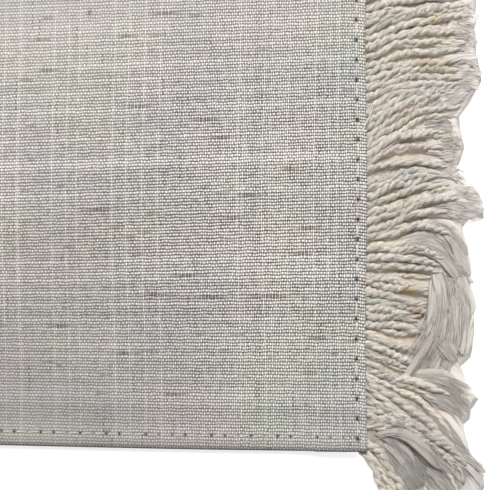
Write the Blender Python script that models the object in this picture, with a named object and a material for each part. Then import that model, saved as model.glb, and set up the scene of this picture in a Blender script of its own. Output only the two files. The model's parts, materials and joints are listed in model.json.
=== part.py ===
"""Placemat: a hemmed rectangle of slub cloth with a cotton yarn fringe held under each short end.

Metres, +Z up. X runs along the mat and Y across it. The mat lies on the plane Z = 0, with the
middle of its underside at the origin.
"""
import math
from collections import namedtuple

import bmesh
import bpy
import numpy as np
from mathutils import Vector

# Cloth: a rectangle, hemmed on its long sides and folded under at its short ends
CLOTH_LENGTH = 0.433
CLOTH_WIDTH = 0.330
CLOTH_THICKNESS = 0.0010
SWELL_HEIGHT = 0.00015
SWELL_LENGTH = 0.27
SWELL_WIDTH = 0.19

# Long hems: cloth turned over along each long side, drawn in a little between the corners
HEM_WIDTH = 0.0042
HEM_RISE = 0.0006
HEM_FALL = 0.0018
HEM_EDGE_DROP = 0.0005
HEM_DRAW_IN = 0.0024
HEM_DRAW_LENGTH = 0.150

# Folded ends: the cloth climbs over the fringe heading and ends in a fold
HEADING_WIDTH = 0.0100
HEADING_THICKNESS = 0.0008
HEADING_OVERHANG = 0.0001
HEADING_END_INSET = 0.0006
PIECE_GAP = 0.0003
END_CLIMB = 0.0140
UNDERSIDE_STEP = 0.0020
END_FOLD_DROP = 0.0004
END_WAVE_HEIGHT = 0.0002
END_WAVE_LENGTH = 0.062
END_WAVE_FADE = 0.020

# Fringe: a row of four-sided strands that grow out of the heading's outer side
STRANDS_PER_END = 150
STRAND_RINGS = 4
STRAND_WIDTH = 0.0018
STRAND_HEIGHT = 0.0018
STRAND_TOP_SHARE = 0.70
STRAND_GAP = 0.0003
TIP_SHARE = 0.78
STRAND_UNEVENNESS = 0.08
STRAND_UNEVEN_TURN = 2.4

# How the strands lie, by the distance from one corner of the cloth. Angles are in degrees, from
# straight out of the end: a negative one leans towards that corner.
Lay = namedtuple("Lay", "from_corner root_angle tip_angle length")

RIGHT_END_LAYS = (
    Lay(0.000, -46, -74, 0.0250),
    Lay(0.004, -42, -66, 0.0258),
    Lay(0.009, -36, -56, 0.0250),
    Lay(0.014, -30, -46, 0.0240),
    Lay(0.020, -24, -36, 0.0225),
    Lay(0.028, -14, -24, 0.0222),
    Lay(0.038, -6, -14, 0.0225),
    Lay(0.046, 4, -14, 0.0220),
    Lay(0.050, 18, -8, 0.0250),
    Lay(0.056, 34, -6, 0.0268),
    Lay(0.062, 40, -2, 0.0240),
    Lay(0.068, 36, 0, 0.0210),
    Lay(0.074, 30, -4, 0.0228),
    Lay(0.082, 22, -8, 0.0252),
    Lay(0.095, 16, -8, 0.0244),
    Lay(0.115, 8, 0, 0.0240),
    Lay(0.145, -8, 4, 0.0230),
    Lay(0.180, 4, -4, 0.0248),
    Lay(0.215, 12, -2, 0.0236),
    Lay(0.250, 2, 6, 0.0244),
    Lay(0.285, -4, 2, 0.0238),
    Lay(0.315, 10, 12, 0.0240),
    Lay(0.330, 26, 36, 0.0232),
)

LEFT_END_LAYS = (
    Lay(0.000, -26, -38, 0.0238),
    Lay(0.015, -12, -14, 0.0242),
    Lay(0.045, 6, -4, 0.0230),
    Lay(0.080, 14, 0, 0.0250),
    Lay(0.120, -4, 4, 0.0238),
    Lay(0.160, -10, -2, 0.0228),
    Lay(0.200, 4, 2, 0.0246),
    Lay(0.240, 10, 0, 0.0240),
    Lay(0.280, -6, -2, 0.0234),
    Lay(0.315, 8, 12, 0.0240),
    Lay(0.330, 26, 38, 0.0236),
)

# One cross-section of a strand: its centre on the floor, the way across it, and its size there
Ring = namedtuple("Ring", "centre across width height")

# Grid lines of the cloth, as distances in from an edge: close together over the hems and folds
HEM_LINES = (0.0, 0.0006, 0.0020, 0.0034, HEM_WIDTH, 0.0052)
OVER_HEADING = HEADING_WIDTH + PIECE_GAP
BEHIND_HEADING = HEADING_WIDTH + UNDERSIDE_STEP
END_LINES = (0.0, 0.0008, 0.0030, OVER_HEADING, BEHIND_HEADING, END_CLIMB + 0.0020)
MIDDLE_COLUMNS = 15
MIDDLE_ROWS = 11

CLOTH_COLOUR = (0.44, 0.41, 0.37)
YARN_COLOUR = (0.58, 0.53, 0.46)


def smooth_step(share):
    """Ease from 0 to 1 as share goes from 0 to 1."""
    share = min(max(share, 0.0), 1.0)
    return share * share * (3.0 - 2.0 * share)


def end_wave(along):
    """How far a folded end wanders outwards at this place across the mat."""
    return END_WAVE_HEIGHT * math.sin(2.0 * math.pi * along / END_WAVE_LENGTH)


def hem_draw_in(from_end):
    """How far a long hem is drawn in at this distance from the nearer corner."""
    return HEM_DRAW_IN * smooth_step(from_end / HEM_DRAW_LENGTH)


def swell(x, y):
    """The cloth's soft unevenness, as a height above its thickness."""
    along = math.sin(2.0 * math.pi * x / SWELL_LENGTH + 0.8)
    across = math.cos(2.0 * math.pi * y / SWELL_WIDTH - 0.5)
    return SWELL_HEIGHT * (0.5 + 0.5 * along * across)


def cloth_top(x, y, from_end, from_side):
    """Height of the cloth's upper face, by place and by the distances from its end and its side."""
    heading_lift = HEADING_THICKNESS + PIECE_GAP
    height = CLOTH_THICKNESS + swell(x, y)
    height += heading_lift * smooth_step((END_CLIMB - from_end) / (END_CLIMB - HEADING_WIDTH))
    height += HEM_RISE * smooth_step((HEM_LINES[-1] - from_side) / HEM_FALL)
    if from_side == 0.0:
        height -= HEM_EDGE_DROP
    if from_end == 0.0:
        height -= END_FOLD_DROP
    return height


def cloth_underside(from_end):
    """Height of the cloth's lower face: on the floor, but lifted over the fringe heading."""
    over_heading = from_end < (OVER_HEADING + BEHIND_HEADING) / 2
    return HEADING_THICKNESS + PIECE_GAP if over_heading else 0.0


def grid_lines(half_size, edge_lines, middle_count):
    """Places of the cloth's grid lines from one edge to the other."""
    inner = half_size - edge_lines[-1]
    low = [-half_size + line for line in edge_lines]
    middle = np.linspace(-inner, inner, middle_count + 2)[1:-1]
    high = [half_size - line for line in reversed(edge_lines)]
    return [*low, *middle, *high]


def make_cloth():
    """The cloth with its hems: a grid shaped from above, thickened down to the floor."""
    columns = grid_lines(CLOTH_LENGTH / 2, END_LINES, MIDDLE_COLUMNS)
    rows = grid_lines(CLOTH_WIDTH / 2, HEM_LINES, MIDDLE_ROWS)
    bm = bmesh.new()
    bmesh.ops.create_grid(bm, x_segments=len(columns) - 1, y_segments=len(rows) - 1, size=0.5)
    place = {}
    for vert in bm.verts:
        column = round((vert.co.x + 0.5) * (len(columns) - 1))
        row = round((vert.co.y + 0.5) * (len(rows) - 1))
        place[(round(vert.co.x, 5), round(vert.co.y, 5))] = (columns[column], rows[row])
    bmesh.ops.extrude_face_region(bm, geom=bm.faces[:])
    bm.verts.ensure_lookup_table()
    half = len(bm.verts) // 2
    for vert in bm.verts:
        x, y = place[(round(vert.co.x, 5), round(vert.co.y, 5))]
        from_end = max(CLOTH_LENGTH / 2 - abs(x), 0.0)
        from_side = max(CLOTH_WIDTH / 2 - abs(y), 0.0)
        wave = end_wave(y) if x > 0 else -end_wave(-y)
        outward = wave * smooth_step(1.0 - from_end / END_WAVE_FADE)
        inward = hem_draw_in(from_end) * abs(y) / (CLOTH_WIDTH / 2)
        upper = vert.index >= half
        height = cloth_top(x, y, from_end, from_side) if upper else cloth_underside(from_end)
        vert.co = Vector((x + outward, y - math.copysign(inward, y), height))
    bmesh.ops.recalc_face_normals(bm, faces=bm.faces[:])
    return finish_object("cloth", bm, fabric_material("slub_cloth", CLOTH_COLOUR))


def lay_at(lays, from_corner):
    """Root angle, tip angle and length of the strand at this distance from the corner."""
    stations = [lay.from_corner for lay in lays]
    root = np.interp(from_corner, stations, [lay.root_angle for lay in lays])
    tip = np.interp(from_corner, stations, [lay.tip_angle for lay in lays])
    length = np.interp(from_corner, stations, [lay.length for lay in lays])
    return math.radians(root), math.radians(tip), length


def strand_centres(root, lays, from_corner):
    """Points on the floor under one strand, from its root on the heading to its tip."""
    root_angle, tip_angle, length = lay_at(lays, from_corner)
    centres = [root]
    for step in range(STRAND_RINGS):
        share = (step + 0.5) / STRAND_RINGS
        angle = root_angle + (tip_angle - root_angle) * share
        stride = Vector((math.cos(angle), math.sin(angle))) * (length / STRAND_RINGS)
        centres.append(centres[-1] + stride)
    return centres


def distance_to_line(point, centres):
    """Distance in plan from a point to a neighbouring strand's centre line."""
    nearest = math.inf
    for start, end in zip(centres, centres[1:]):
        run = end - start
        share = min(max((point - start).dot(run) / run.length_squared, 0.0), 1.0)
        nearest = min(nearest, (point - start - run * share).length)
    return nearest


def strand_rings(index, lines):
    """Cross-sections of one strand, as wide as its neighbours leave room for."""
    centres = lines[index]
    neighbours = [lines[other] for other in (index - 1, index + 1) if 0 <= other < len(lines)]
    tallness = 1.0 + STRAND_UNEVENNESS * math.sin(STRAND_UNEVEN_TURN * index)
    rings = []
    for step in range(1, STRAND_RINGS + 1):
        before = centres[step - 1]
        after = centres[min(step + 1, STRAND_RINGS)]
        along = (after - before).normalized()
        across = Vector((-along.y, along.x))
        room = min(distance_to_line(centres[step], line) for line in neighbours)
        share = step / STRAND_RINGS
        full = 1.0 - (1.0 - TIP_SHARE) * share ** 2
        width = min(STRAND_WIDTH * full, room - STRAND_GAP)
        rings.append(Ring(centres[step], across, width, STRAND_HEIGHT * full * tallness))
    return rings


def grow_strand(bm, root_face, root_ring, rings):
    """Extrude one strand out of its cell of the heading, ring by ring."""
    face = root_face
    previous = root_ring
    for ring in rings:
        face = bmesh.ops.extrude_discrete_faces(bm, faces=[face])["faces"][0]
        for vert in face.verts:
            side = math.copysign(0.5, (vert.co.xy - previous.centre).dot(previous.across))
            upper = vert.co.z > previous.height / 2
            reach = side * ring.width * (STRAND_TOP_SHARE if upper else 1.0)
            spot = ring.centre + ring.across * reach
            vert.co = Vector((spot.x, spot.y, ring.height if upper else 0.0))
        previous = ring


def make_fringe(name, side, lays):
    """A fringe: its narrow heading under the cloth, with a strand out of each cell of its edge."""
    length = CLOTH_WIDTH - 2 * HEADING_END_INSET
    cell = length / STRANDS_PER_END
    bm = bmesh.new()
    bmesh.ops.create_cube(bm, size=1.0)
    width = HEADING_WIDTH + HEADING_OVERHANG
    bmesh.ops.scale(bm, vec=(width, length, HEADING_THICKNESS), verts=bm.verts[:])
    middle = Vector((HEADING_OVERHANG - width / 2, 0.0, HEADING_THICKNESS / 2))
    bmesh.ops.translate(bm, vec=middle, verts=bm.verts[:])
    outer = [edge for edge in bm.edges if all(vert.co.x > 0 for vert in edge.verts)]
    long_edges = [edge for edge in outer if edge.calc_length() > length / 2]
    bmesh.ops.subdivide_edges(bm, edges=long_edges, cuts=STRANDS_PER_END - 1)
    for vert in bm.verts:
        if vert.co.x > 0:
            vert.co.x += end_wave(vert.co.y)
    cells = [face for face in bm.faces if all(vert.co.x > -HEADING_WIDTH / 2 for vert in face.verts)]
    cells.sort(key=lambda face: face.calc_center_median().y)
    roots = [face.calc_center_median().xy for face in cells]
    lines = [strand_centres(root, lays, root.y + CLOTH_WIDTH / 2) for root in roots]
    for index, face in enumerate(cells):
        root_ring = Ring(roots[index], Vector((0.0, 1.0)), cell, HEADING_THICKNESS)
        grow_strand(bm, face, root_ring, strand_rings(index, lines))
    bmesh.ops.recalc_face_normals(bm, faces=bm.faces[:])
    fringe = finish_object(name, bm, fabric_material(name + "_yarn", YARN_COLOUR))
    fringe.location.x = side * CLOTH_LENGTH / 2
    fringe.rotation_euler.z = 0.0 if side > 0 else math.pi
    return fringe


def fabric_material(name, colour):
    """A matt cloth or yarn material of one colour."""
    material = bpy.data.materials.new(name)
    material.use_nodes = True
    shader = material.node_tree.nodes["Principled BSDF"]
    shader.inputs["Base Color"].default_value = (*colour, 1.0)
    shader.inputs["Roughness"].default_value = 0.9
    shader.inputs["Metallic"].default_value = 0.0
    return material


def finish_object(name, bm, material):
    """Turn a finished bmesh into a named object with its material, in the placemat collection."""
    mesh = bpy.data.meshes.new(name)
    bm.to_mesh(mesh)
    bm.free()
    mesh.materials.append(material)
    part = bpy.data.objects.new(name, mesh)
    bpy.data.collections["placemat"].objects.link(part)
    return part


def main():
    for old in list(bpy.data.objects):
        bpy.data.objects.remove(old, do_unlink=True)
    collection = bpy.data.collections.new("placemat")
    bpy.context.scene.collection.children.link(collection)
    make_cloth()
    make_fringe("fringe_right", 1, RIGHT_END_LAYS)
    make_fringe("fringe_left", -1, LEFT_END_LAYS)


main()
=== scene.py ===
"""Looks of the fringed placemat: slub cloth, its seams and its twisted yarn fringes.

Laid out as an add-on and run as a script. Metres, +Z up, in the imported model's own frame:
X runs along the mat, Y across it, and the floor is Z = 0.
"""
import json
import math
from collections import namedtuple

import bpy
import numpy as np
from bpy.props import FloatProperty, FloatVectorProperty, IntProperty, PointerProperty
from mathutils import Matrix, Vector

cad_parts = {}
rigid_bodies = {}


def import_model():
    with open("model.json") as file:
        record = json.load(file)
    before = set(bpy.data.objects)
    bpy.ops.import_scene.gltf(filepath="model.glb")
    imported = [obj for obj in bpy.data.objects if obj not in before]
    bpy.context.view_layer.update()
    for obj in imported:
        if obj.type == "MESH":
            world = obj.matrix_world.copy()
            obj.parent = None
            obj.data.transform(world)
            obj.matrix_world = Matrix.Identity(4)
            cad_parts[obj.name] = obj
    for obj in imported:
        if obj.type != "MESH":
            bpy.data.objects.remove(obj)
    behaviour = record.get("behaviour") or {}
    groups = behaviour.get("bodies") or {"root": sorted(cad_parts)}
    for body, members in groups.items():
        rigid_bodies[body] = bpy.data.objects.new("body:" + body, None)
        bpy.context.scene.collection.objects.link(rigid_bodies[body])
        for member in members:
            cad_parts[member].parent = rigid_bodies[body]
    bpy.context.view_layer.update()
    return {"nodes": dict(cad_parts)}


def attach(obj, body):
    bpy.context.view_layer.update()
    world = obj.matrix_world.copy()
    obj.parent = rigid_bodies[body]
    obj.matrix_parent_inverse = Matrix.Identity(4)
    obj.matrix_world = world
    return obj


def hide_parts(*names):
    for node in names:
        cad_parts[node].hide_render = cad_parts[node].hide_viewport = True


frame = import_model()

bl_info = {
    "name": "Fringed placemat",
    "version": (1, 0, 0),
    "blender": (4, 5, 0),
    "location": "View3D > Sidebar > Placemat",
    "description": "Slub cloth placemat with sewn hems and a two-ply yarn fringe",
    "category": "Add Mesh",
}

BODY = "root"

# Cloth outline, as the solids have it: wavy folded ends, and long hems that are drawn in a little
CLOTH_LENGTH = 0.433
CLOTH_WIDTH = 0.330
END_WAVE_HEIGHT = 0.0002
END_WAVE_LENGTH = 0.062
END_WAVE_FADE = 0.020
HEM_DRAW_IN = 0.0024
HEM_DRAW_LENGTH = 0.150

# Cloth heights
CLOTH_TOP = 0.0010
SWELL_HEIGHT = 0.00015
SWELL_LENGTH = 0.27
SWELL_WIDTH = 0.19
SWELL_STARTS = (0.8, -0.5)
RIPPLE_FADE = 0.016
HEM_RISE = 0.0006
HEM_FLAT = 0.0030
HEM_FALL_TO = 0.0052
END_LIFT = 0.0011
END_CLIMB_FROM = 0.0180
END_CLIMB_TO = 0.0040
LIP_UNDERSIDE = 0.0011
LIP_WIDTH = 0.0110
HEM_ROUND = 0.0009
FOLD_ROUND = 0.0006
ROUND_MIDDLE = 0.28
FURROW_DEPTH = 0.00020
FURROW_WIDTH = 0.00045

# Grid lines of the cloth, as distances in from an edge, then an even spacing
EDGE_LINES = (0.0, 0.00006, 0.0002, 0.0004, 0.0006, 0.0010, 0.0014, 0.0017, 0.0020, 0.0023, 0.0026, 0.0029,
              0.0031, 0.0033, 0.0037, 0.0044, 0.0052, 0.0062, 0.0076, 0.0092, 0.0109, 0.0111, 0.0135)
MIDDLE_SPACING = 0.0036

# Soft ridges left from folding and handling
Ripple = namedtuple("Ripple", "x y degrees length width height")
RIPPLES = (
    Ripple(0.168, -0.108, 78, 0.085, 0.017, 0.00022),
    Ripple(0.120, -0.060, 68, 0.120, 0.026, 0.00040),
    Ripple(0.040, 0.090, -84, 0.110, 0.022, 0.00045),
    Ripple(-0.004, -0.070, 88, 0.120, 0.014, 0.00050),
    Ripple(-0.100, 0.020, 74, 0.130, 0.030, 0.00050),
    Ripple(-0.170, -0.095, -60, 0.070, 0.020, 0.00035),
    Ripple(0.180, 0.100, 40, 0.070, 0.024, 0.00035),
    Ripple(-0.060, 0.128, 8, 0.100, 0.013, 0.00030),
    Ripple(0.030, -0.138, 3, 0.110, 0.012, 0.00028),
)

# How the yarn lies, by the distance from one corner of the cloth. The four angles are in degrees at
# the root, a third, two thirds and the tip, from straight out of the end: a negative one leans
# towards that corner. The ply share is how much of the strand is still twisted, and the lift is how
# high its loose end lies over its neighbours.
# Each row is the distance, the four angles, length, ply share and lift, with lengths in millimetres.
LAY_UNITS = (1000, 1, 1, 1, 1, 1000, 1, 1000)
RIGHT_END_LAYS = np.array((
    (0, -60, -64, -68, -70, 25, 0.62, 0),
    (2, -46, -62, -66, -68, 26.2, 0.62, 0),
    (3.6, -22, -58, -64, -66, 26.4, 0.62, 0),
    (4.6, 28, 0, -30, -42, 27.2, 0.66, 0.9),
    (6, 8, -14, -36, -46, 26.8, 0.62, 0.4),
    (7.8, -4, -24, -40, -52, 26.2, 0.62, 0),
    (11, -22, -34, -45, -54, 26.2, 0.62, 0),
    (14, -40, -42, -48, -58, 26, 0.60, 0),
    (16, -42, -43, -46, -55, 25, 0.60, 0.2),
    (17.6, -26, -10, -34, -58, 25.5, 0.62, 0.5),
    (20, -36, -26, -14, -24, 11.2, 0.74, 0),
    (22.2, -26, -22, -22, -30, 11.2, 0.74, 0),
    (24.6, -20, -24, -26, -38, 11.8, 0.74, 0),
    (27, -6, -10, -16, -36, 12.2, 0.74, 0),
    (30, -6, -8, -12, -44, 12.8, 0.74, 0),
    (33.5, -14, -13, -18, -50, 13.6, 0.74, 0),
    (37, -6, -8, -16, -54, 15.5, 0.72, 0.2),
    (40, 0, -4, -22, -60, 18, 0.72, 0.4),
    (42.6, 8, 8, -26, -66, 24, 0.66, 0.6),
    (44.6, 18, 16, -16, -64, 25.5, 0.64, 0.6),
    (47, 18, 20, 6, -48, 25, 0.66, 0.4),
    (49, 17, 18, 10, -4, 25.6, 0.68, 0.2),
    (52, 24, 18, 4, 0, 26.2, 0.68, 0),
    (54.5, 22, 14, -6, -4, 25.6, 0.68, 0),
    (57, 18, 12, -12, -10, 24, 0.72, 0.2),
    (59.5, 30, 10, -14, -22, 21.2, 0.78, 0.4),
    (61.5, 38, 24, -4, -10, 21.2, 0.74, 0.3),
    (64, 38, 36, 20, 4, 22.2, 0.70, 0.2),
    (67.5, 36, 34, 24, 4, 22.2, 0.70, 0),
    (70, 28, 20, 2, -2, 21.4, 0.72, 0),
    (72.5, 24, 10, -8, 26, 24.2, 0.70, 0.3),
    (75.5, 26, 8, -2, 8, 25, 0.72, 0),
    (79, 24, 12, 4, 2, 25.6, 0.74, 0),
    (83, 28, 14, -6, 0, 25.2, 0.74, 0),
    (87, 22, 18, -4, -6, 24.6, 0.74, 0),
    (91, 15, 8, 6, 0, 24, 0.76, 0),
    (95, 18, 10, 0, 4, 24.2, 0.76, 0),
    (105, 12, 6, -2, -4, 24, 0.74, 0),
    (120, -6, -2, 4, 6, 24.2, 0.72, 0),
    (140, -14, -8, 0, 4, 23.6, 0.70, 0.2),
    (160, 8, 6, -4, -12, 24.8, 0.72, 0),
    (180, 16, 10, 0, -8, 24, 0.74, 0),
    (200, 2, 4, 6, 10, 23.8, 0.70, 0),
    (220, -16, -10, 2, 8, 24.4, 0.72, 0.2),
    (240, -4, 2, 8, 4, 23.6, 0.74, 0),
    (262, 14, 6, -6, -10, 24.6, 0.72, 0),
    (285, -8, -4, 2, 6, 24, 0.70, 0),
    (305, 4, 8, 12, 14, 23.8, 0.72, 0),
    (320, 16, 18, 22, 28, 24, 0.70, 0),
    (330, 32, 40, 46, 50, 23.6, 0.66, 0),
)) / LAY_UNITS

LEFT_END_LAYS = np.array((
    (0, -34, -42, -48, -52, 23.8, 0.66, 0),
    (12, -16, -20, -24, -30, 24.2, 0.70, 0),
    (30, 2, -2, -8, -14, 24.4, 0.72, 0),
    (50, 16, 10, 0, -10, 23.6, 0.70, 0.3),
    (70, 22, 14, 2, -6, 24.8, 0.74, 0),
    (90, 10, 6, 0, 4, 24.2, 0.72, 0),
    (115, -8, -2, 4, 8, 23.6, 0.70, 0),
    (140, -18, -12, -2, 4, 24.6, 0.74, 0.2),
    (165, -4, 0, 4, 2, 23.8, 0.72, 0),
    (190, 12, 8, 0, -10, 24.8, 0.70, 0),
    (215, 4, 4, 2, 8, 24, 0.74, 0),
    (240, 16, 10, -2, -8, 24.4, 0.72, 0.2),
    (265, -6, -4, 2, 6, 23.6, 0.70, 0),
    (290, -12, -4, 6, 10, 24.6, 0.74, 0),
    (312, 6, 10, 16, 20, 24, 0.70, 0),
    (330, 30, 38, 44, 50, 23.4, 0.66, 0),
)) / LAY_UNITS

# How far the fringe reaches out, as distances from the corner and from the folded end in millimetres
RIGHT_END_REACH = np.array((
    (-19.8, 0), (-18.5, 11), (-15.5, 18.5), (-12, 23.2), (-8, 25.2), (-3.8, 25.1), (-1.7, 22.4),
    (0.4, 21.5), (2.5, 20.5), (4.6, 19), (6.7, 22.6), (8.8, 22.4), (10.9, 24), (13, 22.2), (15.1, 20.3),
    (17.2, 19.6), (19.3, 22.2), (21.4, 22.6), (25.6, 22.6), (27.7, 22.4), (29.8, 21.7), (34, 21.9),
    (36.1, 22.8), (38.2, 22.4), (40.3, 21.3), (42.4, 22.2), (44.5, 21.3), (46.6, 20.3), (48.5, 20.6),
    (48.9, 25.1), (52.9, 24.7), (55, 23.8), (57.1, 21.5), (59.2, 19.2), (61.3, 20.1), (63.4, 20.9),
    (65.5, 20.9), (67.6, 20.1), (69.7, 19.2), (71.8, 21.3), (73.9, 22.2), (76, 23.4), (78.1, 24.5),
    (80.2, 24.5), (82.3, 23.8), (86.5, 23.6), (88.6, 23.2), (92.8, 23.4), (94.9, 23.6), (105, 24),
    (118, 23), (132, 24.4), (145, 22.6), (160, 24.6), (172, 20.8), (184, 24), (198, 23.4), (212, 24.6),
    (224, 21.6), (240, 23.8), (256, 24.4), (268, 21), (282, 23.8), (298, 24.6), (312, 23), (322, 24),
    (330, 23.4), (336, 21.5), (339.5, 15), (341.2, 0),
)) / 1000

LEFT_END_REACH = np.array((
    (-14, 0), (-12, 14), (-7, 22), (0, 23.6), (14, 24.2), (26, 21.2), (39, 24), (54, 23), (70, 24.6),
    (83, 21.6), (96, 23.8), (112, 24.4), (126, 22.6), (140, 24), (156, 24.6), (169, 21.4), (182, 23.6),
    (197, 24.4), (211, 23.2), (226, 24.6), (239, 22), (254, 23.8), (270, 23), (286, 24.6), (300, 21.8),
    (314, 24), (326, 23.4), (336, 21), (339, 14), (340.5, 0),
)) / 1000

# Loose ends that have parted from their strands and lie over them. Places are from the folded end and
# from the corner. The lift is how high the lock lies, and the shade how light it is.
Lock = namedtuple("Lock", "places width lift shade")


def place_locks(*rows):
    """Locks, from rows of width, lift, shade and then the places, with lengths in millimetres."""
    return [Lock(np.array(places) / 1000, width / 1000, lift / 1000, shade)
            for width, lift, shade, *places in rows]


SWIRL_LOCKS = place_locks(
    (4.8, 0.8, 0.98, (14, 40.5), (15, 34.5), (14.7, 28.5), (12.9, 23.2), (9.8, 18.5), (7.4, 14.2)),
    (4.4, 0.8, 1.00, (14.2, 41), (16, 34.5), (16, 27), (14.4, 21), (11.6, 16.5)),
    (4.8, 0.6, 1.02, (16.5, 38.5), (18, 31.9), (17.7, 24.6), (16.4, 19.3), (14.8, 15)),
    (4.4, 0.4, 1.04, (18, 39.9), (19.9, 34), (20.9, 28.1), (20.6, 22.5), (19.6, 18.3)),
    (4, 0.6, 0.98, (13.5, 33), (16, 28.5), (19, 24), (21.4, 21.2)),
    (4, 0.6, 1.00, (14, 27.5), (16.4, 23.5), (18.4, 20), (20, 17.4)),
    (3.6, 0.5, 0.91, (9.5, 16), (15, 15), (19.9, 13), (24, 10.4)),
    (4.2, 0.4, 0.91, (11, 17.6), (16.5, 14), (19.8, 10.6), (22.2, 7.2)),
    (3.6, 0.4, 0.91, (8.5, 14), (14, 12.2), (18.5, 9.6), (21.5, 5.8)),
    (2.6, 1, 0.97, (3.9, 39.9), (8.1, 42.4), (12.3, 43.7), (16.1, 41.8), (19, 37.8), (21.2, 32.8)),
    (2.6, 0.9, 0.97, (9, 46.2), (13, 47.8), (16.5, 47.2), (19, 44.2), (20.6, 40), (21.6, 36.5)),
    (2.4, 0.8, 0.97, (6, 44), (11, 45.5), (15, 44.5), (18.5, 41), (20.5, 36)),
)

CORNER_LOCKS = place_locks(
    (2.6, 0.2, 0.74, (0.3, 4), (3.2, 0.5), (6.2, -4.5), (8.2, -10)),
    (3, 0.3, 0.74, (0.8, 5.2), (4.8, 2.5), (9, -2), (12.2, -8)),
    (3, 0.3, 0.76, (0.8, 6.4), (6, 4.5), (11, 0.5), (15, -5)),
    (5, 0.4, 0.80, (7, 11.3), (12.3, 6.7), (17.1, 1.5), (21.7, -3.4), (24.8, -6)),
    (4.6, 0.3, 0.78, (3.9, 9.9), (9.1, 4.6), (14.4, -1.3), (18.6, -6.3)),
    (3.6, 0.3, 0.82, (11, 9.9), (15.5, 5.7), (18.6, 1.5), (21.2, -1.7)),
    (2.2, 1.2, 0.86, (1.2, 2.2), (3.6, 4.2), (7.2, 4.4), (12.3, 0.8), (16.9, -3.8), (20.3, -7.4)),
    (3.4, 0.2, 0.68, (2, 1), (5, -2), (8, -6), (10, -10.5)),
    (4, 0.1, 0.68, (4.5, 1.5), (8.5, -2.2), (12, -6.4), (14.5, -10.5)),
    (4, 0.1, 0.72, (8, 1), (12.5, -3), (16.5, -7), (19.5, -10.5)),
)

EDGE_LOCKS = place_locks(
    (7.4, 0.3, 1.22, (15, 52.9), (18.6, 52.3), (21.7, 51.7), (25, 51.4)),
    (8, 0.2, 1.24, (17, 90.7), (20.5, 90.3), (23.6, 89.9)),
    (7, 0.2, 1.24, (17.5, 80.2), (21.2, 79.8), (24.4, 79.2)),
    (2.6, 0.6, 1.22, (14.5, 72.8), (18.6, 74.3), (22.2, 77.1)),
    (4.6, 0.3, 0.99, (12, 71.8), (16.5, 72.7), (20.2, 73)),
    (4.6, 0.2, 0.93, (12, 69), (15.5, 68.8), (18.6, 68.6)),
    (4, 0.2, 1.06, (14.5, 65.5), (17.8, 65.1), (20.5, 64.9)),
    (3.4, 0.2, 1.06, (14.5, 62.5), (17.8, 62.4), (20.2, 63)),
    (3.4, 0.2, 1.14, (15, 58.8), (18.2, 58.4), (21.2, 58)),
)

# An end's name, the side that it is on, how its yarn lies and reaches, how fine its fibres are made,
# and its seed for small differences
End = namedtuple("End", "name side lays reach fineness seed")
ENDS = (End("right", 1.0, RIGHT_END_LAYS, RIGHT_END_REACH, 1.0, 11),
        End("left", -1.0, LEFT_END_LAYS, LEFT_END_REACH, 0.6, 37))

# Which loose locks lie on each end, and how far along it they are moved
END_LOCKS = {
    "right": ((SWIRL_LOCKS, 0.0), (CORNER_LOCKS, 0.0), (EDGE_LOCKS, 0.0), (EDGE_LOCKS, 0.062),
              (EDGE_LOCKS[:3], 0.118), (SWIRL_LOCKS[9:], 0.150), (EDGE_LOCKS, 0.172),
              (EDGE_LOCKS[1:6], 0.214)),
    "left": ((EDGE_LOCKS, -0.036), (EDGE_LOCKS[:4], 0.018), (SWIRL_LOCKS[9:], 0.070),
             (EDGE_LOCKS, 0.084), (EDGE_LOCKS[1:6], 0.150), (SWIRL_LOCKS[2:5], 0.190),
             (EDGE_LOCKS, 0.206)),
}

# Tanned and tinted places in the yarn, as x, y, radius and the tint at their middle
STAINS = (
    (0.2256, -0.1311, 0.0016, (0.86, 0.74, 0.46)),
    (0.2270, -0.1355, 0.0017, (0.86, 0.66, 0.58)),
    (0.2250, -0.1064, 0.0015, (0.86, 0.97, 1.05)),
    (0.2290, -0.0834, 0.0020, (0.86, 0.77, 0.62)),
    (0.2335, -0.0838, 0.0016, (0.88, 0.78, 0.64)),
    (0.2310, -0.0738, 0.0017, (0.86, 0.79, 0.60)),
    (0.2335, -0.0775, 0.0014, (0.88, 0.78, 0.64)),
    (0.2245, -0.0935, 0.0014, (0.88, 0.80, 0.68)),
    (0.2240, -0.1120, 0.0015, (0.86, 0.80, 0.70)),
)

# Dark slubs that stand out in the weft, as x, y and half their length in millimetres
SLUBS = np.array((
    (186.2, -99.3, 3.2), (176.1, -153.7, 2.5), (204.2, -118.4, 2.7), (196.7, -132.5, 3.8),
    (172.3, -132.2, 3.2), (159.9, -114.4, 3.4), (203, -123.6, 2.3), (149.6, -85.6, 2.5),
    (183.6, -132.5, 3.4), (192, -111.2, 2.9), (182.8, -95.3, 3.8), (166.2, -78.3, 2.3), (179, -128, 3.4),
    (165.4, -145.1, 2.3), (174.2, -73.2, 3.2), (168.7, -93, 3.2), (188.3, -115.7, 2.1),
    (200.4, -105.4, 1.9), (152.1, -139.4, 2.5), (206.3, -141.5, 2.1),
)) / 1000

# One thick dark place in a warp thread, as x, y and half its length
WARP_SLUB = (0.1583, -0.0730, 0.0008)

# Paths of the strands: how many points each has, its greatest length, the length under which a strand
# stops short of the fringe's outline, how far it is tucked under the fold, where along it the four
# angles hold, and how many degrees it strays from them
PATH_STEPS = 96
PATH_LENGTH = 0.034
SHORT_LENGTH = 0.0200
ROOT_TUCK = 0.0012
LAY_ANCHORS = ROOT_TUCK + np.array((0.0, 0.008, 0.016, 0.024))
STRAND_STRAY = 4.2
LOWER_STRAY = 6.0
LOOSE_STRAY = 4.0

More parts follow.
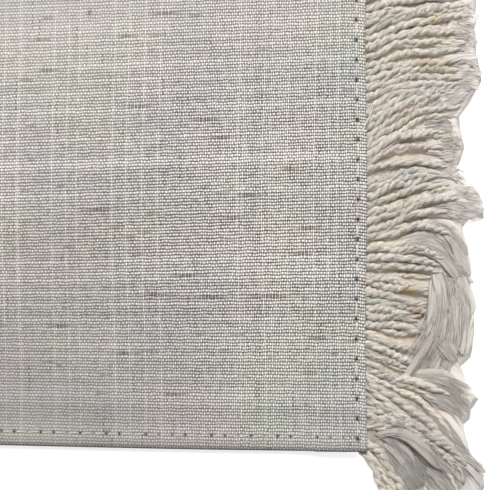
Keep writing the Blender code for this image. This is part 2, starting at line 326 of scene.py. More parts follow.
# Heights of the yarn and its loose fibre
ROOT_HEIGHT = 0.00072
STRAND_HEIGHT = 0.00098
LEVEL_STEP = 0.00018
YARN_FLOOR = 0.00003
LOWER_HEIGHTS = (0.00080, 0.00108)
TUFT_HEIGHT = 0.00078
WISP_HEIGHT = 0.00084
LOCK_HEIGHT = 0.00080

# Plies: which way they wind, how far each lies from its strand's centre line, and half its width, both
# as shares of the strand's width
TWIST_HAND = -1.0
PLY_OFFSET = 0.155
PLY_HALF_WIDTH = 0.36

# How many strands lie below and how wide they are beside the upper ones, and how often a lock's line
# is smoothed
LOWER_STRANDS = 96
LOWER_WIDTH = 0.90
LOCK_SMOOTHING = 80

# The brushed sheet: its grid, its underside, its height at the fold, how far it rises over the tips
# and falls at the very end, the height of its ridges, and its least height
SHEET_STATIONS = 330
SHEET_STEPS = 20
SHEET_FLOOR = 0.00004
SHEET_HEIGHT = 0.00052
SHEET_RISE = 0.00036
SHEET_FALL = 0.00048
SHEET_RIDGE = 0.00009
SHEET_LEAST = 0.00016

# Half widths of the loose fibres, and how many there are: on a strand, or to a metre of a lock's width
TUFT_WIDTHS = (0.00080, 0.00130)
WISP_WIDTHS = (0.00007, 0.00014)
FUZZ_WIDTHS = (0.00004, 0.00008)
LOCK_TUFT_WIDTHS = (0.00070, 0.00140)
LOCK_WISP_WIDTHS = (0.00006, 0.00014)
FUZZ_EACH = 38
LOCK_TUFTS = 800.0
LOCK_WISPS = 9000.0

# How fine the streaks in a fibre are: to a metre of its length, and round it. A heading's are to a
# metre along each axis
YARN_GRAIN = (700.0, 1.6)
TUFT_GRAIN = (260.0, 2.5)
WISP_GRAIN = (300.0, 1.0)
SEAM_GRAIN = (3000.0, 2.0)
THREAD_GRAIN = (2500.0, 2.0)
HEADING_GRAIN = (900.0, 3500.0, 900.0)

# Tints of the fibre
# The lower strands' tint is painted fill light: lighter than the yarn above them, where they lie in shade
PAINTED_LOWER_FILL = np.array([1.10, 1.06, 1.01])
TIP_TINT = np.array([1.18, 1.19, 1.23])
SHEET_ROOT_TINT = np.array([0.95, 0.935, 0.90])
SHEET_TIP_TINT = np.array([1.20, 1.22, 1.26])
LOCK_TINT = np.array([1.01, 1.0, 0.985])

# Woven headings under the folded ends
HEADING_WIDTH = 0.0100
HEADING_THICKNESS = 0.0008
HEADING_END_INSET = 0.0006
HEADING_LIFT = 0.00005
HEADING_ROUND = 0.00025

# How the weft bows across the mat and tilts at a fold, and how the warp wavers
BOW_DEPTH = 0.0025
BOW_LENGTH = 0.300
BOW_START = 0.160
BOW_FADE = 0.060
FOLD_TILT = 0.14
FOLD_TILT_WIDTH = 0.0020
WAVER_DEPTH = 0.0005
WAVER_LENGTH = 0.09

# Where the camera's frame lies on the mat
PHOTO_PIXELS = 490
PIXEL_SIZE = 0.00021
FOLD_EDGE_COLUMN = 366.5
HEM_EDGE_ROW = 452.0
CAMERA_LENS = 85.0
SENSOR_WIDTH = 36.0
SURFACE_HEIGHT = 0.0016
CLIP_START = 0.01

# Light and floor
KEY_LIGHT_PLACE = (0.150, 0.550, 0.750)
KEY_LIGHT_AIM = (0.150, -0.100, 0.0)
KEY_LIGHT_SIZE = 0.42
KEY_LIGHT_POWER = 9.6
FILL_STRENGTH = 0.27
FLOOR_SIZE = 40.0
FLOOR_HEIGHT = -0.0003
FLOOR_GLOW = 0.62

# A seam's thread: how far from a corner it begins, how much of a stitch it spans, how deep it dips into
# its holes, how high it rises between them, how far it lies over the cloth, and its lean to one side
SEAM_START = 0.0035
STITCH_SPAN = 0.84
STITCH_DIP = 0.00012
STITCH_RISE = 0.00016
STITCH_LIFT = 0.00004
STITCH_LEAN = (0.00010, 0.00003)

# The loose thread end: where it starts, how far it runs along and across the fold, how it bows and
# arches, and half its width
LOOSE_START = (0.2157, -0.0990, 0.00205)
LOOSE_RUN = (0.0021, 0.0066, -0.00020)
LOOSE_BOW = 0.0004
LOOSE_ARCH = 0.00045
LOOSE_WIDTH = 0.00016

# Needle holes: where they fall, and half their length as a share of a stitch and half their width
HEM_HOLE_PHASE = 0.98
HEM_HOLE_SHARE = 0.115
HEM_HOLE_WIDTH = 0.00032
END_HOLE_PHASE = 0.30
END_HOLE_SHARE = 0.13
END_HOLE_WIDTH = 0.00036

# Settings that several nodes share, and the inputs of a colour mix: its share, and the colours that
# it shows at a share of 0 and of 1
IN_PLANE = {"noise_dimensions": "2D"}
EASED = {"interpolation_type": "SMOOTHSTEP"}
COLOURS = {"data_type": "RGBA", "output": 2}
SHARE, AT_NONE, AT_FULL = 0, 6, 7


def linear(hex_colour):
    """A linear RGB colour from an sRGB one in hex."""
    shares = [int(hex_colour[start:start + 2], 16) / 255 for start in (1, 3, 5)]
    return tuple(s / 12.92 if s <= 0.04045 else ((s + 0.055) / 1.055) ** 2.4 for s in shares)


def size(name, description, default):
    """A length that a user may change."""
    return FloatProperty(name=name, description=description, default=default, unit="LENGTH", precision=5)


def colour(name, description, hex_colour):
    """A colour that a user may change."""
    return FloatVectorProperty(name=name, description=description, default=linear(hex_colour),
                               subtype="COLOR", size=3, min=0.0, max=1.0)


class PlacematSizes(bpy.types.PropertyGroup):
    """Sizes of the threads, seams and yarn."""

    warp_pitch: size("Warp pitch", "From one thread across the mat to the next", 0.000372)
    weft_pitch: size("Weft pitch", "From one thread along the mat to the next", 0.000648)
    hem_seam: size("Hem seam", "From a long side to its seam", 0.0031)
    hem_stitch: size("Hem stitch", "Length of a stitch in the long hems", 0.002766)
    end_seam: size("End seam", "From a folded end to its seam", 0.0020)
    end_stitch: size("End stitch", "Length of a stitch along the fringes", 0.00418)
    thread_width: size("Sewing thread", "Width of the sewing thread", 0.00024)
    yarn_pitch: size("Yarn pitch", "From one fringe strand to the next", 0.00174)
    yarn_width: size("Yarn width", "Width of a two-ply strand", 0.00190)
    yarn_twist: size("Yarn twist", "Length of one full turn of the plies", 0.0046)
    wisps: IntProperty(name="Wisps", description="Fine bundles of fibre at the tip of each strand",
                       default=9, min=2, max=12)


class PlacematColours(bpy.types.PropertyGroup):
    """Colours of the threads and yarn."""

    weft: colour("Weft", "Thick slubby threads along the mat", "#E3DED7")
    warp: colour("Warp", "Fine threads across the mat", "#C0BAB3")
    slub: colour("Slub", "Unbleached lumps in the threads", "#80705E")
    thread: colour("Sewing thread", "Seams", "#EBE7DF")
    yarn: colour("Yarn", "Twisted fringe yarn", "#D8D0C5")
    fray: colour("Fray", "Loose ends of the yarn", "#E3DBD1")
    floor: colour("Floor", "Paper that the mat lies on", "#F7F7F7")


def smooth_step(share):
    """Ease from 0 to 1 as share goes from 0 to 1."""
    share = np.clip(share, 0.0, 1.0)
    return share * share * (3.0 - 2.0 * share)


class Value:
    """A node's result. Arithmetic on it adds the nodes that work it out."""

    def __init__(self, tree, socket):
        self.tree = tree
        self.socket = socket

    def other(self, output):
        """Another result of the same node."""
        return Value(self.tree, self.socket.node.outputs[output])

    def step(self, operation, *others):
        """Put this value through an operation, together with the others."""
        return add_node(self.tree, "ShaderNodeMath", (self, *others), operation=operation)

    def wave(self, length, start, operation):
        """A sine or cosine of this distance, from its wavelength and starting angle."""
        return (self * (2 * math.pi / length) + start).step(operation)

    def __add__(self, other):
        return self.step("ADD", other)

    def __sub__(self, other):
        return self.step("SUBTRACT", other)

    def __mul__(self, other):
        return self.step("MULTIPLY", other)

    def __truediv__(self, other):
        return self.step("DIVIDE", other)


def add_node(tree, kind, inputs=(), output=0, **settings):
    """Add a node with its settings and links, and give one of its results.

    Inputs are values or other nodes' results, by place or by name.
    """
    node = tree.nodes.new(kind)
    for name, value in settings.items():
        setattr(node, name, value)
    pairs = inputs.items() if isinstance(inputs, dict) else enumerate(inputs)
    for place, value in pairs:
        if isinstance(value, Value):
            tree.links.new(value.socket, node.inputs[place])
        else:
            node.inputs[place].default_value = value
    return Value(tree, node.outputs[output])


def square_of(first, *others):
    """The sum of squares of some values."""
    total = first * first
    for other in others:
        total = other * other + total
    return total


def bell(square):
    """A soft spot, from the squared distance to its middle: 1 there, and 0 far away."""
    return (square * -1.0).step("EXPONENT")


def new_material(name, roughness, sheen):
    """A Principled material. Its colour and bump are linked by the caller."""
    material = bpy.data.materials.new(name)
    material.use_nodes = True
    shader = material.node_tree.nodes["Principled BSDF"]
    shader.inputs["Roughness"].default_value = roughness
    shader.inputs["Specular IOR Level"].default_value = 0.25
    shader.inputs["Sheen Weight"].default_value = sheen
    shader.inputs["Sheen Roughness"].default_value = 0.6
    return material, material.node_tree, shader


def dress_shader(tree, shader, colour, brightness, height, strength, distance):
    """Give a shader its colour, scaled by a brightness, and a bump from a height."""
    shown = add_node(tree, "ShaderNodeVectorMath", {0: colour, "Scale": brightness}, operation="SCALE")
    tree.links.new(shown.socket, shader.inputs["Base Color"])
    bump = add_node(tree, "ShaderNodeBump", {"Height": height, "Strength": strength, "Distance": distance})
    tree.links.new(bump.socket, shader.inputs["Normal"])


def needle_holes(x, y, from_end, from_side, sizes):
    """Ovals in a row along each seam, where the cloth dips and painted shade darkens the holes, some of them
    nearly closed in the hem.
    """
    hem_count = x * (1.0 / sizes.hem_stitch) + HEM_HOLE_PHASE
    end_count = y * (1.0 / sizes.end_stitch) + END_HOLE_PHASE
    hem_square = square_of((hem_count.step("FRACT") - 0.5) / HEM_HOLE_SHARE,
                           (from_side - sizes.hem_seam) / HEM_HOLE_WIDTH)
    end_square = square_of((end_count.step("FRACT") - 0.5) / END_HOLE_SHARE,
                           (from_end - sizes.end_seam) / END_HOLE_WIDTH)
    closed = (hem_count.step("FLOOR") * 2.4).step("SINE").step("MAXIMUM", 0.0)
    return bell((closed * 1.3 + hem_square).step("MINIMUM", end_square))


def placed_slubs(u, v, row, sizes):
    """How much unbleached fibre the placed slubs show, in all and in the warp."""
    marks = [(*weave_map(np.array(x), np.array(y)), half) for x, y, half in (WARP_SLUB, *SLUBS)]
    slub_u, slub_v, half_length = marks[0]
    warp_square = square_of((v - float(slub_v)) / half_length,
                            (u - float(slub_u)) / (1.1 * sizes.warp_pitch))
    slub = warp_slub = bell(warp_square) * 0.85
    for slub_u, slub_v, half_length in marks[1:]:
        slub_row = math.floor(slub_v / sizes.weft_pitch + 0.45)
        part = (u - float(slub_u)) / half_length
        spot = (part * part * -1.2).step("EXPONENT") * row.step("COMPARE", float(slub_row), 0.5)
        slub = slub.step("MAXIMUM", spot)
    return slub, warp_slub


def slub_cloth_material(sizes, colours):
    """Linen-look plain weave: pale slubby weft over finer warp, with painted shade in the gaps and needle
    holes.
    """
    material, tree, shader = new_material("slub_plain_weave", 0.9, 0.15)
    places = [add_node(tree, "ShaderNodeSeparateXYZ", [place]) for place in (
        add_node(tree, "ShaderNodeUVMap", uv_map="weave"),
        add_node(tree, "ShaderNodeUVMap", uv_map="from_edges"),
        add_node(tree, "ShaderNodeTexCoord", output="Object"))]
    (u, v), (from_end, from_side), (x, y) = ((place, place.other(1)) for place in places)

    # Threads by number: one unit across is a warp thread, and one along is a weft thread.
    # They wander by a part of their own width, over about 2 mm
    place = add_node(tree, "ShaderNodeCombineXYZ", (u * 520.0, v * 520.0, 0.0))
    wander = add_node(tree, "ShaderNodeTexNoise", {"Vector": place, "Scale": 1.0, "Detail": 2.0},
                      output="Color", **IN_PLANE)
    wander = add_node(tree, "ShaderNodeSeparateColor", [wander])
    across = wander * 0.8 + u * (1.0 / sizes.warp_pitch)
    along = wander.other(1) * 0.6 + v * (1.0 / sizes.weft_pitch)
    column, row = across.step("FLOOR"), along.step("FLOOR")
    in_column, in_row = across.step("FRACT"), along.step("FRACT")

    # Each thread has its own shade, and now and then one is fuller and stands proud
    row_shade = add_node(tree, "ShaderNodeTexWhiteNoise", {"W": row}, noise_dimensions="1D")
    column_shade = add_node(tree, "ShaderNodeTexWhiteNoise", {"W": column + 5000.0}, noise_dimensions="1D")
    cell = add_node(tree, "ShaderNodeCombineXYZ", (column, row, 0.0))
    cell_shade = add_node(tree, "ShaderNodeTexWhiteNoise", {"Vector": cell}, **IN_PLANE)
    proud_row = add_node(tree, "ShaderNodeMapRange", (row_shade, 0.80, 0.86, 0.0, 1.0), **EASED)
    proud_column = add_node(tree, "ShaderNodeMapRange", (column_shade, 0.86, 0.90, 0.0, 1.0), **EASED)

    # Slubs about 8 mm long in a weft thread and 14 mm in a warp thread, fibres of 0.7 by 0.16 mm,
    # and mottling about 20 mm wide
    noises = []
    for noise_x, noise_y, detail in ((u * 120.0, row * 7.31, 2.0), (column * 5.17, v * 70.0, 1.0),
                                     (u * 1500.0, v * 6200.0, 2.0), (u * 45.0, v * 60.0, 3.0)):
        place = add_node(tree, "ShaderNodeCombineXYZ", (noise_x, noise_y, 0.0))
        noises.append(add_node(tree, "ShaderNodeTexNoise", {"Vector": place, "Scale": 1.0, "Detail": detail},
                               **IN_PLANE))
    slub_noise, warp_noise, fibre_noise, mottle = noises

    # A plain weave: each thread is round, and rises and dips as it passes over and under
    across_wave = x.wave(0.110, -9.71, "SINE")
    over = (column + row).step("FLOORED_MODULO", 2.0) * -2.0 + 1.0
    crimp = over * (across_wave * 0.05 + 0.20)
    from_warp, from_weft = in_column - 0.5, in_row - 0.5
    weft_reach = from_weft / (row_shade * 0.04 + (slub_noise * 0.20 + 0.34))
    warp_reach = from_warp / (column_shade * 0.06 + 0.41)
    weft_body = proud_row * 0.05 + (weft_reach * weft_reach * -0.68 + 0.68)
    warp_body = proud_column * 0.10 + (warp_reach * warp_reach * -0.56 + 0.56)
    weft_height = weft_body + crimp * (from_warp * math.pi).step("COSINE")
    warp_height = warp_body - crimp * (from_weft * math.pi).step("COSINE")
    weft_shows = weft_height.step("GREATER_THAN", warp_height)
    height = weft_height.step("MAXIMUM", warp_height).step("MAXIMUM", 0.0)
    hole_dip_and_shade = needle_holes(x, y, from_end, from_side, sizes)

    # Painted shade in the gaps between the threads: darkest where the weave is open, and paler near the hems
    uneven_height = cell_shade * 0.16 + (height - 0.08)
    deep = add_node(tree, "ShaderNodeMapRange", (uneven_height, 0.34, 0.72, 0.0, 1.19), **EASED)
    open_middle = across_wave * 0.23 + (y.wave(0.150, 4.86, "COSINE") * 0.33 + 0.60)
    openness = open_middle * (bell(square_of(from_side / 0.0040)) * -0.35 + 1.0)
    painted_gap_shade = (deep * openness + (openness * -0.77 + 0.77)).step("MAXIMUM", 0.02)

    # Each thread's own shade, a thin line of painted shade between warp threads with painted light on each
    # thread's middle, and the fibres
    row_part = proud_row * 0.04 + (row_shade * 0.06 + 0.965)
    column_part = proud_column * 0.07 + (column_shade * 0.08 + 0.95)
    painted_column_shade = (in_column * (2 * math.pi)).step("COSINE") * (across_wave * -0.12 - 0.25) + 1.0
    threads = row_part * column_part * painted_column_shade * (fibre_noise * 0.36 + 0.82)

    # Painted light falloff near one corner, lighter towards the key light and darker away from it; painted
    # light on the folded end; painted shade along the rolled side; and soft mottling
    falloff_x, falloff_y = (x - 0.140) / 0.045, (y + 0.121) / 0.060
    painted_falloff_and_thread_tone = bell(square_of(falloff_x, falloff_y)) * falloff_y * 0.35 + 1.052
    painted_fold_light = bell(square_of(from_end / 0.0018)) * 0.14 + 1.0
    painted_edge_shade = bell(square_of(from_side / 0.00070)) * -0.74 + 1.0
    painted_light_and_mottle = painted_falloff_and_thread_tone * (painted_fold_light * painted_edge_shade) * (mottle * 0.20 + 0.90)
    # The threads' brightness, darkened by painted shade in the gaps and in the needle holes
    brightness = threads * painted_light_and_mottle * painted_gap_shade * (hole_dip_and_shade * -0.97 + 1.0)

    # Slubs are lumps of unbleached fibre, in the weft and now and then in the warp
    slub, warp_slub = placed_slubs(u, v, row, sizes)
    shades = []
    for shade, noise, low, high, most, placed in (
            (colours.warp, warp_noise, 0.70, 0.78, 0.80, warp_slub),
            (colours.weft, slub_noise, 0.690, 0.760, 0.60, slub)):
        chance = add_node(tree, "ShaderNodeMapRange", (noise, low, high, 0.0, most), **EASED)
        chance = chance.step("MAXIMUM", placed)
        shades.append(add_node(tree, "ShaderNodeMix", {
            SHARE: chance, AT_NONE: (*shade, 1.0), AT_FULL: (*colours.slub, 1.0)}, **COLOURS))
    shown = add_node(tree, "ShaderNodeMix", {
        SHARE: weft_shows, AT_NONE: shades[0], AT_FULL: shades[1]}, **COLOURS)
    tinted = add_node(tree, "ShaderNodeMix", {
        SHARE: 0.09, AT_NONE: shown, AT_FULL: mottle.other("Color")}, **COLOURS)
    dress_shader(tree, shader, tinted, brightness, hole_dip_and_shade * -2.0 + height, 0.8, 0.00016)
    return material


def fibre_material(name, base, roughness, sheen, contrast, relief, softness):
    """Spun fibre: streaks that follow each ply or wisp, tinted by the piece's own colours."""
    material, tree, shader = new_material(name, roughness, sheen)
    grain = add_node(tree, "ShaderNodeAttribute", output="Vector", attribute_name="grain")
    tint = add_node(tree, "ShaderNodeAttribute", output="Color", attribute_name="tint")
    streak = add_node(tree, "ShaderNodeTexNoise", {"Vector": grain, "Scale": 1.0, "Detail": 3.0})
    share = add_node(tree, "ShaderNodeMapRange", (streak, 0.25, 0.75, 1.0 - contrast, 1.0 + contrast))
    shown = add_node(tree, "ShaderNodeMix", {SHARE: 1.0, AT_NONE: (*base, 1.0), AT_FULL: tint},
                     blend_type="MULTIPLY", **COLOURS)
    dress_shader(tree, shader, shown, share, streak, 0.6, relief)
    shader.inputs["Subsurface Weight"].default_value = softness
    shader.inputs["Subsurface Radius"].default_value = (1.0, 0.9, 0.8)
    shader.inputs["Subsurface Scale"].default_value = 0.0006
    return material


def get_material(name, make, *settings):
    """The named material, made the first time that it is asked for."""
    return bpy.data.materials.get(name) or make(*settings)


def yarn_material(colours):
    """Soft two-ply cotton yarn: creamy, matt, with fine fibres along each ply."""
    return fibre_material("two_ply_cotton_yarn", colours.yarn, 0.95, 0.25, 0.30, 0.00016, 0.4)


def fray_material(colours):
    """Brushed cotton fibre at the yarn's loose ends: paler, smoother and streaky."""
    return fibre_material("brushed_cotton_fibre", colours.fray, 0.95, 0.30, 0.14, 0.00012, 0.4)


def thread_material(colours):
    """Polyester-cotton sewing thread: smooth, with a slight gloss."""
    return fibre_material("spun_sewing_thread", colours.thread, 0.7, 0.10, 0.10, 0.00003, 0.0)


def add_piece(name, points, faces, material, stands_for=()):
    """A smooth mesh piece that rides on the mat."""
    mesh = bpy.data.meshes.new(name)
    mesh.from_pydata(points.tolist(), [], faces)
    mesh.validate()
    mesh.polygons.foreach_set("use_smooth", [True] * len(mesh.polygons))
    mesh.materials.append(material)
    piece = bpy.data.objects.new(name, mesh)
    bpy.context.collection.objects.link(piece)
    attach(piece, BODY)
    if stands_for:
        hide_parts(*stands_for)
    return piece


# Cloth

def add_uv_map(mesh, name, places):
    """Give a mesh a UV map from one place per vertex."""
    corners = np.empty(len(mesh.loops), dtype=np.int32)
    mesh.loops.foreach_get("vertex_index", corners)
    layer = mesh.uv_layers.new(name=name)
    layer.data.foreach_set("uv", places[corners].astype(np.float32).ravel())


def grid_lines(half_size):
    """Places of the cloth's grid lines from one edge to the other."""
    inner = half_size - EDGE_LINES[-1]
    middle = np.linspace(-inner, inner, round(2 * inner / MIDDLE_SPACING) + 1)
    low = -half_size + np.array(EDGE_LINES[:-1])
    return np.concatenate([low, middle, -low[::-1]])


def from_edges(x, y):
    """Distances of a place on the cloth from its nearer end and its nearer side."""
    return np.maximum(CLOTH_LENGTH / 2 - np.abs(x), 0.0), np.maximum(CLOTH_WIDTH / 2 - np.abs(y), 0.0)


def ripple_height(x, y):
    """Height of the soft ridges, fading out before the hems."""
    height = np.zeros_like(x)
    for ripple in RIPPLES:
        angle = math.radians(ripple.degrees)
        along = (x - ripple.x) * math.cos(angle) + (y - ripple.y) * math.sin(angle)
        beside = (y - ripple.y) * math.cos(angle) - (x - ripple.x) * math.sin(angle)
        square = (2 * along / ripple.length) ** 2 + (2 * beside / ripple.width) ** 2
        height += ripple.height * np.exp(-square)
    from_end, from_side = from_edges(x, y)
    return height * smooth_step(np.minimum(from_end, from_side) / RIPPLE_FADE)


def furrow(distance, seam):
    """How far a seam's thread pulls the cloth down, at a distance from the edge."""
    return FURROW_DEPTH * np.exp(-((distance - seam) / FURROW_WIDTH) ** 2)


def cloth_heights(x, y, sizes):
    """Heights of the cloth's upper and lower faces."""
    from_end, from_side = from_edges(x, y)
    start_x, start_y = SWELL_STARTS
    swell = np.sin(2 * np.pi * x / SWELL_LENGTH + start_x) * np.cos(2 * np.pi * y / SWELL_WIDTH + start_y)
    top = CLOTH_TOP + SWELL_HEIGHT * (0.5 + 0.5 * swell) + ripple_height(x, y)
    top = top + END_LIFT * smooth_step((END_CLIMB_FROM - from_end) / (END_CLIMB_FROM - END_CLIMB_TO))
    top = top + HEM_RISE * smooth_step((HEM_FALL_TO - from_side) / (HEM_FALL_TO - HEM_FLAT))
    top = top - furrow(from_side, sizes.hem_seam) - furrow(from_end, sizes.end_seam)
    underside = np.where(from_end < LIP_WIDTH, LIP_UNDERSIDE, 0.0)
    in_from_edge = np.clip(np.minimum(from_side / HEM_ROUND, from_end / FOLD_ROUND), 0.0, 1.0)
    fullness = np.sqrt(1.0 - (1.0 - in_from_edge) ** 2)
    middle = underside + ROUND_MIDDLE * (top - underside)
    return middle + (top - middle) * fullness, middle + (underside - middle) * fullness


def cloth_plan(x, y):
    """Where a place on the cloth lies in plan, with its wavy ends and drawn-in hems."""
    from_end, _ = from_edges(x, y)
    wave = END_WAVE_HEIGHT * np.sin(2 * np.pi * y / END_WAVE_LENGTH)
    drawn = HEM_DRAW_IN * smooth_step(from_end / HEM_DRAW_LENGTH)
    return x + wave * smooth_step(1.0 - from_end / END_WAVE_FADE), y * (1.0 - drawn / (CLOTH_WIDTH / 2))


def on_cloth(x, y, sizes):
    """Points on the cloth's upper face."""
    top, _ = cloth_heights(x, y, sizes)
    return np.stack([*cloth_plan(x, y), top], axis=-1)


def two_faced_grid(across, along):
    """Faces of a closed sheet on a grid, and the grid points that its underside has for itself."""
    grid = np.arange(across * along).reshape(across, along)
    inside = np.zeros(grid.shape, dtype=bool)
    inside[1:-1, 1:-1] = True
    lower_grid = grid.copy()
    lower_grid[inside] = grid.size + np.arange(inside.sum())
    quads = [np.stack([g[:-1, :-1], g[1:, :-1], g[1:, 1:], g[:-1, 1:]], axis=-1).reshape(-1, 4)
             for g in (grid, lower_grid)]
    return np.concatenate([quads[0], quads[1][:, ::-1]]).tolist(), np.flatnonzero(inside.ravel())


def weave_map(x, y):
    """Real lengths along the threads. The weft bows a little, and straightens at the hems."""
    from_end, from_side = from_edges(x, y)
    bow = BOW_DEPTH * np.sin(2 * np.pi * (x - BOW_START) / BOW_LENGTH) * smooth_step(from_side / BOW_FADE)
    tilt = FOLD_TILT * np.sign(x) * np.maximum(FOLD_TILT_WIDTH - from_end, 0.0)
    waver = WAVER_DEPTH * np.sin(2 * np.pi * y / WAVER_LENGTH)
    return np.stack([x - waver, y - bow + tilt], axis=-1)


class PLACEMAT_OT_cloth(bpy.types.Operator):
    """Make the cloth with its hems and its folded ends"""

    bl_idname = "placemat.cloth"
    bl_label = "Make cloth"

    def execute(self, context):
        sizes, colours = context.scene.placemat_sizes, context.scene.placemat_colours
        columns, rows = grid_lines(CLOTH_LENGTH / 2), grid_lines(CLOTH_WIDTH / 2)
        x, y = (grid.ravel() for grid in np.meshgrid(columns, rows, indexing="ij"))
        top, underside = cloth_heights(x, y, sizes)
        across, along = cloth_plan(x, y)
        upper = np.stack([across, along, top], axis=-1)
        lower = np.stack([across, along, underside], axis=-1)

        faces, inside = two_faced_grid(len(columns), len(rows))
        points = np.concatenate([upper, lower[inside]])
        material = get_material("slub_plain_weave", slub_cloth_material, sizes, colours)
        piece = add_piece("cloth_sheet", points, faces, material, ["cloth"])
        kept = np.concatenate([np.arange(len(x)), inside])
        add_uv_map(piece.data, "weave", weave_map(x, y)[kept])
        add_uv_map(piece.data, "from_edges", np.stack(from_edges(x, y), axis=-1)[kept])
        return {"FINISHED"}


# Round pieces that lie flat: strands, wisps and stitches

def tube_rings(centres, headings, half_widths, half_heights, sides):
    """Rings round each path of a set, from the heading at each of its points."""
    turn = 2 * np.pi * np.arange(sides) / sides
    beside = np.stack([-np.sin(headings), np.cos(headings), np.zeros_like(headings)], axis=-1)
    side_part = (half_widths[..., None] * np.cos(turn))[..., None] * beside[:, :, None, :]
    rings = centres[:, :, None, :] + side_part
    rings[..., 2] += half_heights[..., None] * np.sin(turn)
    return rings


def path_headings(centres):
    """Which way each path runs in plan, at each of its points."""
    direction = np.gradient(centres, axis=1)
    return np.arctan2(direction[..., 1], direction[..., 0])


def beside_path(centres, headings, distance):
    """Points moved sideways from a path, in plan."""
    moved = centres.copy()
    moved[..., 0] -= distance * np.sin(headings)
    moved[..., 1] += distance * np.cos(headings)
    return moved


def fibre_grain(centres, sides, scale, seed, twist=0.0):
    """Coordinates for streaks along each tube, different on every tube.

    Twist is how far the streaks wind round it.
    """
    rng = np.random.default_rng(seed)
    per_length, round_scale = scale
    steps = np.linalg.norm(np.diff(centres, axis=1), axis=-1)
    along = np.concatenate([np.zeros((len(centres), 1)), np.cumsum(steps, axis=1)], axis=1) * per_length
    shape = (*centres.shape[:2], sides)
    turn = 2 * np.pi * np.arange(sides) / sides - np.broadcast_to(twist, shape[:2])[..., None]
    start = rng.uniform(0, 200, (len(centres), 1, 1))
    return np.stack([np.broadcast_to(along[..., None] + start, shape),
                     round_scale * np.cos(turn) + start, round_scale * np.sin(turn)], axis=-1)


def join_rings(rings):
    """Faces of closed tubes, from rings as tube, ring, side and place."""
    tubes, count, sides, _ = rings.shape
    start = (np.arange(tubes) * count * sides)[:, None, None]
    ring = (np.arange(count - 1) * sides)[None, :, None]
    side = np.arange(sides)
    here = start + ring + side
    beside = start + ring + (side + 1) % sides
    quads = np.stack([here, beside, beside + sides, here + sides], axis=-1).reshape(-1, 4)
    first = start[:, :, 0] + side[::-1]
    last = start[:, :, 0] + (count - 1) * sides + side
    return [*quads.tolist(), *first.tolist(), *last.tolist()]


def tube_part(rings, grain, tint):
    """Closed tubes as one part of a fibre piece: points, faces, grain and tint."""
    shown = np.broadcast_to(tint, rings.shape).reshape(-1, 3)
    return rings.reshape(-1, 3), join_rings(rings), grain.reshape(-1, 3), shown


def lay_tubes(centres, headings, half_widths, half_heights, sides, scale, seed, tint):
    """Closed tubes along some paths, as one part of a fibre piece."""
    rings = tube_rings(centres, headings, half_widths, half_heights, sides)
    return tube_part(rings, fibre_grain(centres, sides, scale, seed), tint)


def add_fibre_look(mesh, grain, tint):
    """Keep the grain and the tint of each vertex, which the fibre materials read."""
    for name, kind, field, values in (("grain", "FLOAT_VECTOR", "vector", grain),
                                      ("tint", "FLOAT_COLOR", "color", tint)):
        layer = mesh.attributes.new(name, kind, "POINT")
        layer.data.foreach_set(field, values.astype(np.float32).ravel())


def add_fibre_piece(name, parts, side, material, stands_for=()):
    """A piece that carries its fibres' grain and tint.

    With a side, its parts are in that end's own frame.
    """
    points, faces, grains, tints = [], [], [], []
    for places, part_faces, grain, tint in parts:
        first = sum(len(part) for part in points)
        faces += [[first + corner for corner in face] for face in part_faces]
        placed = to_mat(places, side) if side else places
        points.append(placed)
        grains.append(grain)
        tints.append(stain(placed, tint))
    piece = add_piece(name, np.concatenate(points), faces, material, stands_for)
    shown = np.concatenate(tints)
    shown = np.concatenate([shown, np.ones((len(shown), 1))], axis=1)
    add_fibre_look(piece.data, np.concatenate(grains), shown)


def stain(places, tint):
    """Tint the fibres that lie in a tanned place."""
    shown = tint.copy()
    for x, y, radius, mark in STAINS:
        square = (places[..., 0] - x) ** 2 + ((places[..., 1] - y) * 1.6) ** 2
        share = np.exp(-square / radius ** 2)[..., None]
        shown *= 1.0 + share * (np.array(mark) - 1.0)
    return shown


def random_tints(count, rng, spread):
    """A slightly different shade for each tube, mostly in brightness."""
    brightness = rng.normal(0.0, spread, (count, 1, 1, 1))
    hue = rng.normal(0.0, 0.22 * spread, (count, 1, 1, 3))
    return 1.0 + brightness + hue


# Seams

def stitch_places(length, stitch, phase, end_gap):
    """Middles of the stitches along an edge, between the needle holes."""
    first = math.ceil((-length / 2 + end_gap) / stitch + phase)
    last = math.floor((length / 2 - end_gap) / stitch + phase)
    return (np.arange(first, last + 1) - phase) * stitch


